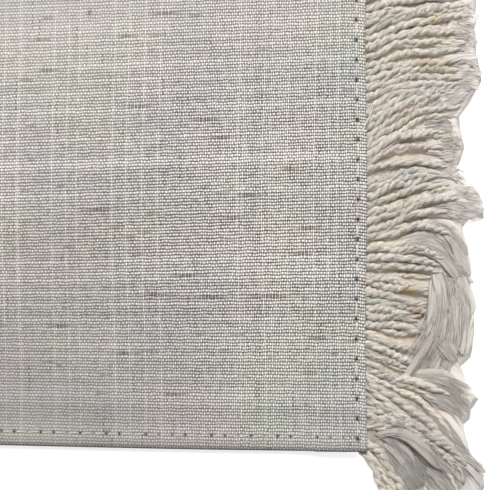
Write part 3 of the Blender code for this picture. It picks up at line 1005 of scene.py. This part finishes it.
class PLACEMAT_OT_seams(bpy.types.Operator):
    """Sew the long hems and the fringe seams"""

    bl_idname = "placemat.seams"
    bl_label = "Sew seams"

    def execute(self, context):
        sizes, colours = context.scene.placemat_sizes, context.scene.placemat_colours
        material = get_material("spun_sewing_thread", thread_material, colours)
        share = np.linspace(-0.5, 0.5, 7)
        dip = -STITCH_DIP + STITCH_RISE * np.sqrt(np.clip(1.0 - (2 * share) ** 2, 0.0, 1.0))
        half = np.full(7, sizes.thread_width / 2) * (0.55 + 0.45 * np.cos(np.pi * share))
        seams = (
            ("hem_stitches", CLOTH_LENGTH, sizes.hem_stitch, HEM_HOLE_PHASE,
             CLOTH_WIDTH / 2 - sizes.hem_seam, 0.80),
            ("end_stitches", CLOTH_WIDTH, sizes.end_stitch, END_HOLE_PHASE,
             CLOTH_LENGTH / 2 - sizes.end_seam, 1.0),
        )
        for name, length, stitch, phase, offset, painted_falloff_and_thread_tone in seams:
            places = stitch_places(length, stitch, phase, SEAM_START)
            rng = np.random.default_rng(5)
            sides = []
            for side in (-1.0, 1.0):
                along = places[:, None] + share * stitch * STITCH_SPAN
                lean = rng.normal(*STITCH_LEAN, (len(places), 1)) * share * 2
                beside = np.full_like(along, side * offset) + lean
                x, y = (along, beside) if name == "hem_stitches" else (beside, along)
                centres = on_cloth(x, y, sizes)
                centres[..., 2] += dip + STITCH_LIFT
                sides.append(centres)
            centres = np.concatenate(sides)
            widths = np.broadcast_to(half, centres.shape[:2])
            tint = random_tints(len(centres), rng, 0.05) * painted_falloff_and_thread_tone
            part = lay_tubes(centres, path_headings(centres), widths, widths * 0.8, 5, SEAM_GRAIN, 8, tint)
            add_fibre_piece(name, [part], 0, material)
        return {"FINISHED"}


# Fringes

# Paths of some strands, with the length, ply share and lift of each
Strands = namedtuple("Strands", "centres headings lengths ply_shares lifts")


def lay_strands(end, stations, seed, stray, short_ones=True):
    """Centre line, heading and length of each strand, in the end's own frame: X straight out."""
    rng = np.random.default_rng(seed)
    count = len(stations)
    columns = end.lays.T
    _, *angles, cap, ply_share, lift = (np.interp(stations, columns[0], column) for column in columns)
    angles = np.array(angles) + rng.normal(0.0, stray, (4, count)) * [[0.8], [1.0], [1.2], [1.5]]
    full = np.linspace(0.0, PATH_LENGTH + ROOT_TUCK, PATH_STEPS)
    headings = np.radians([np.interp(full, LAY_ANCHORS, row) for row in angles.T])
    turn = 2 * np.pi * full * rng.uniform(80.0, 150.0, (count, 1)) + rng.uniform(0, 2 * np.pi, (count, 1))
    wave = stray * rng.uniform(0.00002, 0.00009, (count, 1)) * np.sin(turn)
    x = -ROOT_TUCK + np.cumsum(np.cos(headings), axis=1) * full[1] - wave * np.sin(headings)
    y = stations[:, None] + np.cumsum(np.sin(headings), axis=1) * full[1] + wave * np.cos(headings)

    # Each strand ends at the fringe's outline, or earlier under a lock
    past = x > np.interp(y, end.reach[:, 0], end.reach[:, 1])
    ends = np.where(past.any(axis=1), past.argmax(axis=1), PATH_STEPS - 1) / (PATH_STEPS - 1)
    if short_ones:
        ends = np.where(cap < SHORT_LENGTH, np.minimum(ends, (cap + 0.0010) / PATH_LENGTH), ends)
    if stray:
        ends = ends * (1.0 - np.abs(rng.normal(0.0, 0.018, count)))
        ply_share = ply_share + rng.normal(-0.02, 0.055, count)
    shares = np.linspace(0.0, 1.0, PATH_STEPS)
    kept = ends[:, None] * shares
    x, y, headings = read_along(x, kept), read_along(y, kept), read_along(headings, kept)
    levels = (np.arange(count) % 2) * LEVEL_STEP + rng.uniform(-0.00008, 0.00026, count)
    change = LEVEL_STEP * np.sin(5.0 * shares + rng.uniform(0, 2 * np.pi, (count, 1)))
    bulge = (levels[:, None] + change) * np.sin(np.pi * np.clip(shares * 1.15, 0.0, 1.0))
    z = ROOT_HEIGHT + (STRAND_HEIGHT + bulge - ROOT_HEIGHT) * smooth_step(shares / 0.12)
    z = z + lift[:, None] * smooth_step((shares - 0.25) / 0.35)
    z = z - 0.00034 * smooth_step((shares - ply_share[:, None]) / 0.3)
    return Strands(np.stack([x, y, z], axis=-1), headings, ends * full[-1], ply_share, lift)


def read_along(values, shares):
    """Values at shares of each path's length."""
    place = np.clip(shares, 0.0, 1.0) * (PATH_STEPS - 1)
    low = np.minimum(place.astype(int), PATH_STEPS - 2)
    part = place - low
    if values.ndim == 3:
        part = part[..., None]
    path = np.arange(len(values))[:, None]
    return values[path, low] * (1.0 - part) + values[path, low + 1] * part


def beside_strands(strands, owner, shares, distance):
    """Points moved sideways from some strands, and the strands' headings there."""
    headings = read_along(strands.headings[owner], shares)
    return beside_path(read_along(strands.centres[owner], shares), headings, distance), headings


def to_mat(points, side):
    """From an end's own frame to the mat's."""
    placed = points.copy()
    placed[..., 0] = side * (CLOTH_LENGTH / 2 + points[..., 0])
    placed[..., 1] = side * (points[..., 1] - CLOTH_WIDTH / 2)
    return placed


def strand_stations(pitch, seed):
    """Where the strands leave the cloth, as distances from one corner."""
    rng = np.random.default_rng(seed)
    count = round(CLOTH_WIDTH / pitch)
    return (np.arange(count) + rng.uniform(0.34, 0.66, count)) * CLOTH_WIDTH / count


def ply_rings(strands, width, twist, seed, ring_count, sides):
    """Two soft plies that wind round each strand's centre line and end in its loose fibres."""
    rng = np.random.default_rng(seed)
    count = len(strands.centres)
    shares = np.linspace(0.0, 1.0, ring_count) * (strands.ply_shares[:, None] + 0.16)
    centres = read_along(strands.centres, shares)
    headings = read_along(strands.headings, shares)
    fullness = 0.70 + 0.30 * smooth_step(shares / 0.10)
    fullness = fullness * (1.0 - 0.55 * smooth_step((shares - strands.ply_shares[:, None] + 0.04) / 0.20))
    fullness = fullness * (1.0 + rng.normal(0.0, 0.09, (count, 1)).clip(-0.18, 0.12))
    turn = 2 * np.pi * shares * strands.lengths[:, None] / twist + rng.uniform(0, 2 * np.pi, (count, 1))
    turn = turn + 1.5 * np.sin(8.0 * shares + rng.uniform(0, 6, (count, 1)))
    plies, grains = [], []
    for half_turn in (0.0, np.pi):
        lumps = 1.0 + rng.normal(0.0, 0.09, shares.shape).clip(-0.2, 0.2)
        angle = TWIST_HAND * turn + half_turn
        out = PLY_OFFSET * width * fullness
        middle = beside_path(centres, headings, out * np.cos(angle))
        middle[..., 2] += out * np.sin(angle)
        across = PLY_HALF_WIDTH * width * fullness * lumps
        plies.append(tube_rings(middle, headings, across, across, sides))
        grains.append(fibre_grain(middle, sides, YARN_GRAIN, seed + 3, angle))
    rings = np.concatenate(plies)
    rings[..., 2] = np.maximum(rings[..., 2], YARN_FLOOR)
    return rings, np.concatenate(grains)


def painted_root_shade(shares, root_shade):
    """Painted shade: darker where the yarn goes in under the cloth's folded end, then the yarn's own shade.
    """
    return root_shade + (1.0 - root_shade) * smooth_step(shares / 0.07)


def lower_stations(lays, rng):
    """Where the lower strands leave the cloth: closer together where the lays above spread apart."""
    stations = np.linspace(0.0004, CLOTH_WIDTH - 0.0004, 1200)
    leans = np.radians(np.interp(stations, lays[:, 0], lays[:, 1:4].mean(axis=1)))
    spread = np.clip(1.0 + 0.013 * np.gradient(leans, stations), 0.55, 3.0)
    total = np.cumsum(spread) / spread.sum()
    places = (np.arange(LOWER_STRANDS) + rng.uniform(0.1, 0.9, LOWER_STRANDS)) / LOWER_STRANDS
    return np.interp(places, total, stations)


def fibre_sheet(end, seed):
    """The brushed fibre that fills the fringe, as one thin uneven sheet.

    It lies under the strands and over their tips.
    """
    rng = np.random.default_rng(seed)
    stations = np.linspace(0.0006, CLOTH_WIDTH - 0.0006, SHEET_STATIONS)
    strands = lay_strands(end, stations, seed, 0.0, short_ones=False)
    shares = np.broadcast_to(np.linspace(0.01, 0.985, SHEET_STEPS), (SHEET_STATIONS, SHEET_STEPS))
    centres = read_along(strands.centres, shares).transpose(1, 0, 2)
    shares = shares.T
    ridges = rng.normal(0.0, 1.0, (3, SHEET_STATIONS))
    ridges = (ridges + np.roll(ridges, 1, axis=1)) / 2
    uneven = ridges[0] * np.cos(3.0 * shares) + ridges[1] * np.sin(3.0 * shares)
    uneven = uneven + ridges[2] * np.cos(7.0 * shares)
    top = SHEET_HEIGHT + SHEET_RISE * smooth_step((shares - 0.50) / 0.30)
    top = top - SHEET_FALL * smooth_step((shares - 0.90) / 0.09)
    upper, lower = centres.copy(), centres.copy()
    upper[..., 2] = np.maximum(top + SHEET_RIDGE * uneven, SHEET_LEAST)
    lower[..., 2] = SHEET_FLOOR
    upper[[0, -1]] = (upper[[0, -1]] + lower[[0, -1]]) / 2
    faces, inside = two_faced_grid(SHEET_STEPS, SHEET_STATIONS)
    paler = smooth_step((shares - 0.42) / 0.45)[..., None]
    tint = SHEET_ROOT_TINT + (SHEET_TIP_TINT - SHEET_ROOT_TINT) * paler
    # Painted light and shade: lighter on the sheet's raised ridges and darker in its hollows
    tint = tint * (1.0 + 0.025 * uneven[..., None])
    along = 220.0 * PATH_LENGTH * shares
    beside = np.broadcast_to(3200.0 * stations, shares.shape)
    grain = np.stack([along, beside, np.zeros(shares.shape)], axis=-1)
    points = np.concatenate([upper.reshape(-1, 3), lower.reshape(-1, 3)[inside]])
    grain, tint = grain.reshape(-1, 3), tint.reshape(-1, 3)
    return points, faces, np.concatenate([grain, grain[inside]]), np.concatenate([tint, tint[inside]])


class PLACEMAT_OT_twist_yarn(bpy.types.Operator):
    """Twist the fringe strands and lay them on a lower layer of strands"""

    bl_idname = "placemat.twist_yarn"
    bl_label = "Twist yarn"

    def execute(self, context):
        sizes, colours = context.scene.placemat_sizes, context.scene.placemat_colours
        material = get_material("two_ply_cotton_yarn", yarn_material, colours)
        for end in ENDS:
            rng = np.random.default_rng(end.seed + 3)
            stations = strand_stations(sizes.yarn_pitch, end.seed)
            strands = lay_strands(end, stations, end.seed, STRAND_STRAY)
            steps = round(14 + 20 * end.fineness)
            rings, grain = ply_rings(strands, sizes.yarn_width, sizes.yarn_twist, end.seed + 1, steps, 5)
            tint = np.tile(random_tints(len(stations), rng, 0.045), (2, 1, 1, 1))
            # Painted shade darkens each strand near its root, by the folded end
            tint = tint * painted_root_shade(np.linspace(0, 0.85, steps), 0.80)[:, None, None]
            upper = tube_part(rings, grain, tint)
            add_fibre_piece(f"fringe_{end.name}_strands", [upper], end.side, material,
                            [f"fringe_{end.name}"])

            # The lower layer fills the hollows, and most where the strands above fan out. Its lighter tint
            # is painted fill light in those shaded hollows.
            lower = lower_stations(end.lays, rng)
            under = lay_strands(end, lower, end.seed + 5, LOWER_STRAY)
            under.centres[..., 2] = rng.uniform(*LOWER_HEIGHTS, (len(lower), 1))
            width = LOWER_WIDTH * sizes.yarn_width
            rings, grain = ply_rings(under, width, sizes.yarn_twist, end.seed + 6, 23, 4)
            tint = np.tile(random_tints(len(lower), rng, 0.06), (2, 1, 1, 1)) * PAINTED_LOWER_FILL
            part = tube_part(rings, grain, tint)
            add_fibre_piece(f"fringe_{end.name}_understrands", [part], end.side, material)
        return {"FINISHED"}


def rounded(part, power):
    """Fullness of a tuft along its length: it closes to a soft point at both ends."""
    return np.sqrt(1.0 - np.clip(np.abs(2.0 * part - 1.0), 0.0, 0.99) ** power)


def strand_tufts(strands, each, seed):
    """Soft flat tufts into which each strand's end opens."""
    rng = np.random.default_rng(seed)
    owner = np.repeat(np.arange(len(strands.centres)), each)
    total = len(owner)
    part = np.linspace(0.0, 1.0, 9)
    begin = strands.ply_shares[owner][:, None] - rng.uniform(0.08, 0.24, (total, 1))
    end = rng.uniform(0.94, 1.0, (total, 1))
    offset = rng.uniform(-0.00040, 0.00040, (total, 1)) * (0.4 + 0.9 * part)
    centres, headings = beside_strands(strands, owner, begin + (end - begin) * part, offset)
    centres[..., 2] = np.minimum(centres[..., 2], TUFT_HEIGHT + strands.lifts[owner][:, None])
    centres[..., 2] -= 0.00036 * smooth_step((part - 0.50) / 0.45) + rng.uniform(0.0, 0.00004, (total, 1))
    fullness = (0.40 + 0.60 * smooth_step(part / 0.5)) * rounded(part, 5)
    widths = rng.uniform(*TUFT_WIDTHS, (total, 1)) * fullness
    heights = 0.00009 * rounded(part, 5) * np.ones((total, 1))
    tint = random_tints(total, rng, 0.025) * TIP_TINT
    return lay_tubes(centres, headings, widths, heights, 6, TUFT_GRAIN, seed + 1, tint)


def strand_wisps(strands, each, seed):
    """Fine bundles of fibre that lie along each strand's tufts and past its tip."""
    rng = np.random.default_rng(seed)
    owner = np.repeat(np.arange(len(strands.centres)), each)
    total = len(owner)
    open_from = strands.ply_shares[owner][:, None]
    begin = open_from - rng.uniform(0.02, 0.26, (total, 1))
    end = np.clip(1.0 - np.abs(rng.normal(0.0, 0.10, (total, 1))), 0.7, 1.0)
    part = np.linspace(0.0, 1.0, 8)
    shares = begin + (end - begin) * part
    offset = rng.uniform(-1.0, 1.0, (total, 1))
    opening = 0.00050 + 0.00110 * smooth_step((shares - open_from + 0.1) / 0.3)
    sway_turn = 2 * np.pi * part * rng.uniform(0.5, 1.3, (total, 1)) + rng.uniform(0, 6, (total, 1))
    distance = offset * opening + 0.00020 * np.sin(sway_turn)
    centres, headings = beside_strands(strands, owner, shares, distance)
    centres[..., 2] = np.minimum(centres[..., 2], WISP_HEIGHT + strands.lifts[owner][:, None])
    dome = 0.00007 * np.sqrt(1.0 - (0.9 * offset) ** 2)
    centres[..., 2] += dome + rng.uniform(-0.00005, 0.00003, (total, 1))
    fullness = 0.25 + 0.75 * np.sin(np.pi * (0.04 + 0.92 * part))
    widths = rng.uniform(*WISP_WIDTHS, (total, 1)) * fullness
    tint = random_tints(total, rng, 0.035) * TIP_TINT
    return lay_tubes(centres, headings, widths, widths * 0.35, 3, WISP_GRAIN, seed + 1, tint)


def strand_fuzz(strands, each, yarn_width, seed):
    """Short stray fibres that stand off the twisted part of each strand."""
    rng = np.random.default_rng(seed)
    owner = np.repeat(np.arange(len(strands.centres)), each)
    total = len(owner)
    part = np.linspace(0.0, 1.0, 3)
    reach = rng.uniform(0.0006, 0.0018, (total, 1))
    begin = rng.uniform(0.03, 0.95, (total, 1)) * strands.ply_shares[owner][:, None]
    shares = np.clip(begin + part * reach / strands.lengths[owner][:, None], 0.0, 1.0)
    around = rng.uniform(0.0, np.pi, (total, 1)) + rng.normal(0.0, 0.5, (total, 1)) * part
    stand_off = rng.uniform(0.00002, 0.00036, (total, 1)) * np.sin(np.pi * (0.15 + 0.8 * part))
    radius = 0.44 * yarn_width + stand_off
    centres, headings = beside_strands(strands, owner, shares, np.cos(around) * radius)
    centres[..., 2] += np.sin(around) * radius
    widths = rng.uniform(*FUZZ_WIDTHS, (total, 1)) * (1.0 - 0.5 * part)
    tint = random_tints(total, rng, 0.05)
    return lay_tubes(centres, headings, widths, widths, 3, WISP_GRAIN, seed + 1, tint)


def lock_paths(locks):
    """Smooth centre lines and headings of the placed locks."""
    shares = np.linspace(0.0, 1.0, PATH_STEPS)
    centres = np.zeros((len(locks), PATH_STEPS, 3))
    for index, (lock, shift) in enumerate(locks):
        places = lock.places + (0.0, shift)
        lengths = np.concatenate([[0.0], np.cumsum(np.linalg.norm(np.diff(places, axis=0), axis=1))])
        for axis in (0, 1):
            line = np.interp(shares, lengths / lengths[-1], places[:, axis])
            for _ in range(LOCK_SMOOTHING):
                line[1:-1] = (line[:-2] + line[1:-1] + line[2:]) / 3
            centres[index, :, axis] = line
        rise = smooth_step((shares + 0.05) / 0.35) * (1.0 - 0.8 * smooth_step((shares - 0.55) / 0.40))
        centres[index, :, 2] = LOCK_HEIGHT + lock.lift * rise
    return centres, np.unwrap(path_headings(centres), axis=1)


def placed_fibres(end, seed, per_width, ring_count, sides, widths, flatness, rise):
    """Tufts or wisps that lie along the placed locks of one end, drifting across them a little."""
    rng = np.random.default_rng(seed)
    per_width = per_width * end.fineness
    locks = [(lock, shift) for group, shift in END_LOCKS[end.name] for lock in group]
    paths, headings = lock_paths(locks)
    counts = [max(3, round(lock.width * per_width)) for lock, _ in locks]
    owner = np.repeat(np.arange(len(locks)), counts)
    total = len(owner)
    half = np.array([lock.width / 2 for lock, _ in locks])[owner][:, None]
    shade = np.array([lock.shade for lock, _ in locks])[owner][:, None, None, None]
    part = np.linspace(0.0, 1.0, ring_count)
    begin = rng.uniform(0.0, 0.60, (total, 1)) ** 1.2
    stop = (begin + rng.uniform(0.38, 0.62, (total, 1))).clip(0.0, 1.0)
    place = begin + (stop - begin) * part
    headings = read_along(headings[owner], place)
    drift = rng.normal(0.0, 0.00070, (total, 1)) / half
    offset = np.clip(rng.uniform(-0.90, 0.90, (total, 1)) + drift * (part - 0.3), -1.0, 1.0)
    sway_turn = 2 * np.pi * part * rng.uniform(0.4, 1.0, (total, 1)) + rng.uniform(0, 6, (total, 1))
    spread = np.maximum(half - 0.35 * widths[1], 0.2 * half) * (0.45 + 0.55 * smooth_step(place / 0.4))
    distance = offset * spread + 0.00028 * np.sin(sway_turn)
    centres = beside_path(read_along(paths[owner], place), headings, distance)
    dome = 0.00012 * (1.0 - offset ** 2) - 0.00030 * np.abs(2.0 * part - 1.0) ** 4
    centres[..., 2] += rise + dome + rng.uniform(-0.00003, 0.00003, (total, 1))
    across = rng.uniform(*widths, (total, 1)) * rounded(part, 4)
    tint = random_tints(total, rng, 0.045) * shade * LOCK_TINT
    scale = (TUFT_GRAIN[0], 6000.0 * widths[1])
    return lay_tubes(centres, headings, across, flatness * across, sides, scale, seed + 1, tint)


class PLACEMAT_OT_fray_ends(bpy.types.Operator):
    """Open the yarn's ends into brushed fibre: a sheet, tufts, wisps and fuzz"""

    bl_idname = "placemat.fray_ends"
    bl_label = "Fray ends"

    def execute(self, context):
        sizes, colours = context.scene.placemat_sizes, context.scene.placemat_colours
        material = get_material("brushed_cotton_fibre", fray_material, colours)
        for end in ENDS:
            stations = strand_stations(sizes.yarn_pitch, end.seed)
            strands = lay_strands(end, stations, end.seed, STRAND_STRAY)
            loose = lay_strands(end, stations, end.seed + 70, LOOSE_STRAY, short_ones=False)
            wisps_each = round(0.5 * sizes.wisps * end.fineness)
            fuzz_each = round(FUZZ_EACH * end.fineness ** 2)

            # Each kind of fibre has its own seed, so that a change to one leaves the others as they are
            layers = {
                "tufts": [
                    fibre_sheet(end, end.seed + 60),
                    strand_tufts(strands, 1, end.seed + 10),
                    placed_fibres(end, end.seed + 40, LOCK_TUFTS, 12, 8, LOCK_TUFT_WIDTHS, 0.07, 0.0),
                ],
                "wisps": [
                    strand_wisps(strands, wisps_each, end.seed + 20),
                    strand_wisps(loose, wisps_each, end.seed + 90),
                    placed_fibres(end, end.seed + 50, LOCK_WISPS, 8, 3, LOCK_WISP_WIDTHS, 0.40, 0.00009),
                ],
                "fuzz": [strand_fuzz(strands, fuzz_each, sizes.yarn_width, end.seed + 30)],
            }
            for layer, parts in layers.items():
                add_fibre_piece(f"fringe_{end.name}_{layer}", parts, end.side, material)
        return {"FINISHED"}


class PLACEMAT_OT_headings(bpy.types.Operator):
    """Make the woven headings that hold the strands under the cloth's ends"""

    bl_idname = "placemat.headings"
    bl_label = "Make headings"

    def execute(self, context):
        colours = context.scene.placemat_colours
        material = get_material("two_ply_cotton_yarn", yarn_material, colours)
        for end in ENDS:
            bpy.ops.object.select_all(action="DESELECT")
            middle = end.side * (CLOTH_LENGTH / 2 - HEADING_WIDTH / 2)
            height = HEADING_THICKNESS / 2 + HEADING_LIFT
            bpy.ops.mesh.primitive_cube_add(size=1.0, location=(middle, 0.0, height))
            piece = context.object
            piece.name = f"fringe_{end.name}_heading"
            piece.scale = (HEADING_WIDTH, CLOTH_WIDTH - 2 * HEADING_END_INSET, HEADING_THICKNESS)
            bpy.ops.object.transform_apply(location=True, rotation=True, scale=True)
            bevel = piece.modifiers.new("Rounded edges", "BEVEL")
            bevel.width = HEADING_ROUND
            bevel.segments = 3
            bpy.ops.object.modifier_apply(modifier=bevel.name)
            bpy.ops.object.shade_smooth_by_angle(angle=math.radians(50))
            piece.data.materials.append(material)
            places = np.array([vertex.co[:] for vertex in piece.data.vertices])
            add_fibre_look(piece.data, places * HEADING_GRAIN, np.full((len(places), 4), 0.9))
            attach(piece, BODY)
        return {"FINISHED"}


class PLACEMAT_OT_loose_thread(bpy.types.Operator):
    """Leave one loose thread end on the folded edge"""

    bl_idname = "placemat.loose_thread"
    bl_label = "Leave loose thread"

    def execute(self, context):
        colours = context.scene.placemat_colours
        material = get_material("spun_sewing_thread", thread_material, colours)
        share = np.linspace(0.0, 1.0, 14)
        arch = np.sin(np.pi * share)
        x = LOOSE_START[0] + LOOSE_RUN[0] * smooth_step(share * 1.1) - LOOSE_BOW * arch
        y = LOOSE_START[1] + LOOSE_RUN[1] * share
        z = LOOSE_START[2] + LOOSE_RUN[2] * share + LOOSE_ARCH * arch
        centres = np.stack([x, y, z], axis=-1)[None]
        widths = LOOSE_WIDTH * (0.4 + 0.6 * np.sin(np.pi * np.clip(share, 0.05, 0.95)))[None]
        part = lay_tubes(centres, path_headings(centres), widths, widths, 6, THREAD_GRAIN, 3, np.ones(3))
        add_fibre_piece("loose_thread", [part], 0, material)
        return {"FINISHED"}


class PLACEMAT_OT_stage(bpy.types.Operator):
    """Make the pale floor, the soft light from beyond the mat, and the camera above its corner"""

    bl_idname = "placemat.stage"
    bl_label = "Make stage"

    def execute(self, context):
        scene, colours = context.scene, context.scene.placemat_colours
        scene.view_settings.view_transform = "Standard"
        bpy.ops.object.select_all(action="DESELECT")
        bpy.ops.mesh.primitive_plane_add(size=FLOOR_SIZE, location=(0.0, 0.0, FLOOR_HEIGHT))
        floor = context.object
        floor.name = "floor"
        material, _, shader = new_material("white_paper_sweep", 0.9, 0.0)
        shader.inputs["Base Color"].default_value = (*colours.floor, 1.0)
        shader.inputs["Emission Color"].default_value = (1.0, 1.0, 1.0, 1.0)
        shader.inputs["Emission Strength"].default_value = FLOOR_GLOW
        floor.data.materials.append(material)

        world = bpy.data.worlds.new("soft_fill")
        world.use_nodes = True
        background = world.node_tree.nodes["Background"]
        background.inputs["Color"].default_value = (1.0, 1.0, 1.0, 1.0)
        background.inputs["Strength"].default_value = FILL_STRENGTH
        scene.world = world
        place, aim = Vector(KEY_LIGHT_PLACE), Vector(KEY_LIGHT_AIM)
        bpy.ops.object.light_add(type="AREA", location=place,
                                 rotation=(aim - place).to_track_quat("-Z", "Y").to_euler())
        light = context.object
        light.name = "key_light"
        light.data.shape = "SQUARE"
        light.data.size = KEY_LIGHT_SIZE
        light.data.energy = KEY_LIGHT_POWER

        width = PHOTO_PIXELS * PIXEL_SIZE
        middle_x = CLOTH_LENGTH / 2 + (PHOTO_PIXELS / 2 - FOLD_EDGE_COLUMN) * PIXEL_SIZE
        middle_y = -CLOTH_WIDTH / 2 + (HEM_EDGE_ROW - PHOTO_PIXELS / 2) * PIXEL_SIZE
        height = SURFACE_HEIGHT + width * CAMERA_LENS / SENSOR_WIDTH
        bpy.ops.object.camera_add(location=(middle_x, middle_y, height), rotation=(0.0, 0.0, 0.0))
        camera = context.object
        camera.name = "camera"
        camera.data.lens = CAMERA_LENS
        camera.data.sensor_width = SENSOR_WIDTH
        camera.data.clip_start = CLIP_START
        scene.camera = camera
        return {"FINISHED"}


OPERATORS = (PLACEMAT_OT_stage, PLACEMAT_OT_cloth, PLACEMAT_OT_seams, PLACEMAT_OT_headings,
             PLACEMAT_OT_twist_yarn, PLACEMAT_OT_fray_ends, PLACEMAT_OT_loose_thread)


class PLACEMAT_PT_steps(bpy.types.Panel):
    """Sizes, colours and steps of the placemat"""

    bl_idname = "PLACEMAT_PT_steps"
    bl_label = "Placemat"
    bl_space_type = "VIEW_3D"
    bl_region_type = "UI"
    bl_category = "Placemat"

    def draw(self, context):
        layout = self.layout
        for group in (context.scene.placemat_sizes, context.scene.placemat_colours):
            box = layout.box()
            for name in group.__annotations__:
                box.prop(group, name)
        for operator in OPERATORS:
            layout.operator(operator.bl_idname)


CLASSES = (PlacematSizes, PlacematColours, *OPERATORS, PLACEMAT_PT_steps)


def register():
    """Add the classes and the scene's own sizes and colours."""
    for cls in CLASSES:
        bpy.utils.register_class(cls)
    bpy.types.Scene.placemat_sizes = PointerProperty(type=PlacematSizes)
    bpy.types.Scene.placemat_colours = PointerProperty(type=PlacematColours)


def unregister():
    """Remove what register added."""
    del bpy.types.Scene.placemat_colours
    del bpy.types.Scene.placemat_sizes
    for cls in reversed(CLASSES):
        bpy.utils.unregister_class(cls)


def main():
    """Make the scene, and gather the names of the fringe pieces and of those that the solids don't have."""
    register()
    bpy.ops.placemat.stage()
    bpy.ops.placemat.cloth()
    bpy.ops.placemat.seams()
    bpy.ops.placemat.headings()
    bpy.ops.placemat.twist_yarn()
    bpy.ops.placemat.fray_ends()
    bpy.ops.placemat.loose_thread()
    pieces = bpy.data.objects
    fringes = [name for name in pieces.keys() if name.startswith("fringe_")]
    with_cloth = [name for name in fringes if name not in frame["nodes"]]
    bpy.context.view_layer.update()


if __name__ == "__main__":
    main()
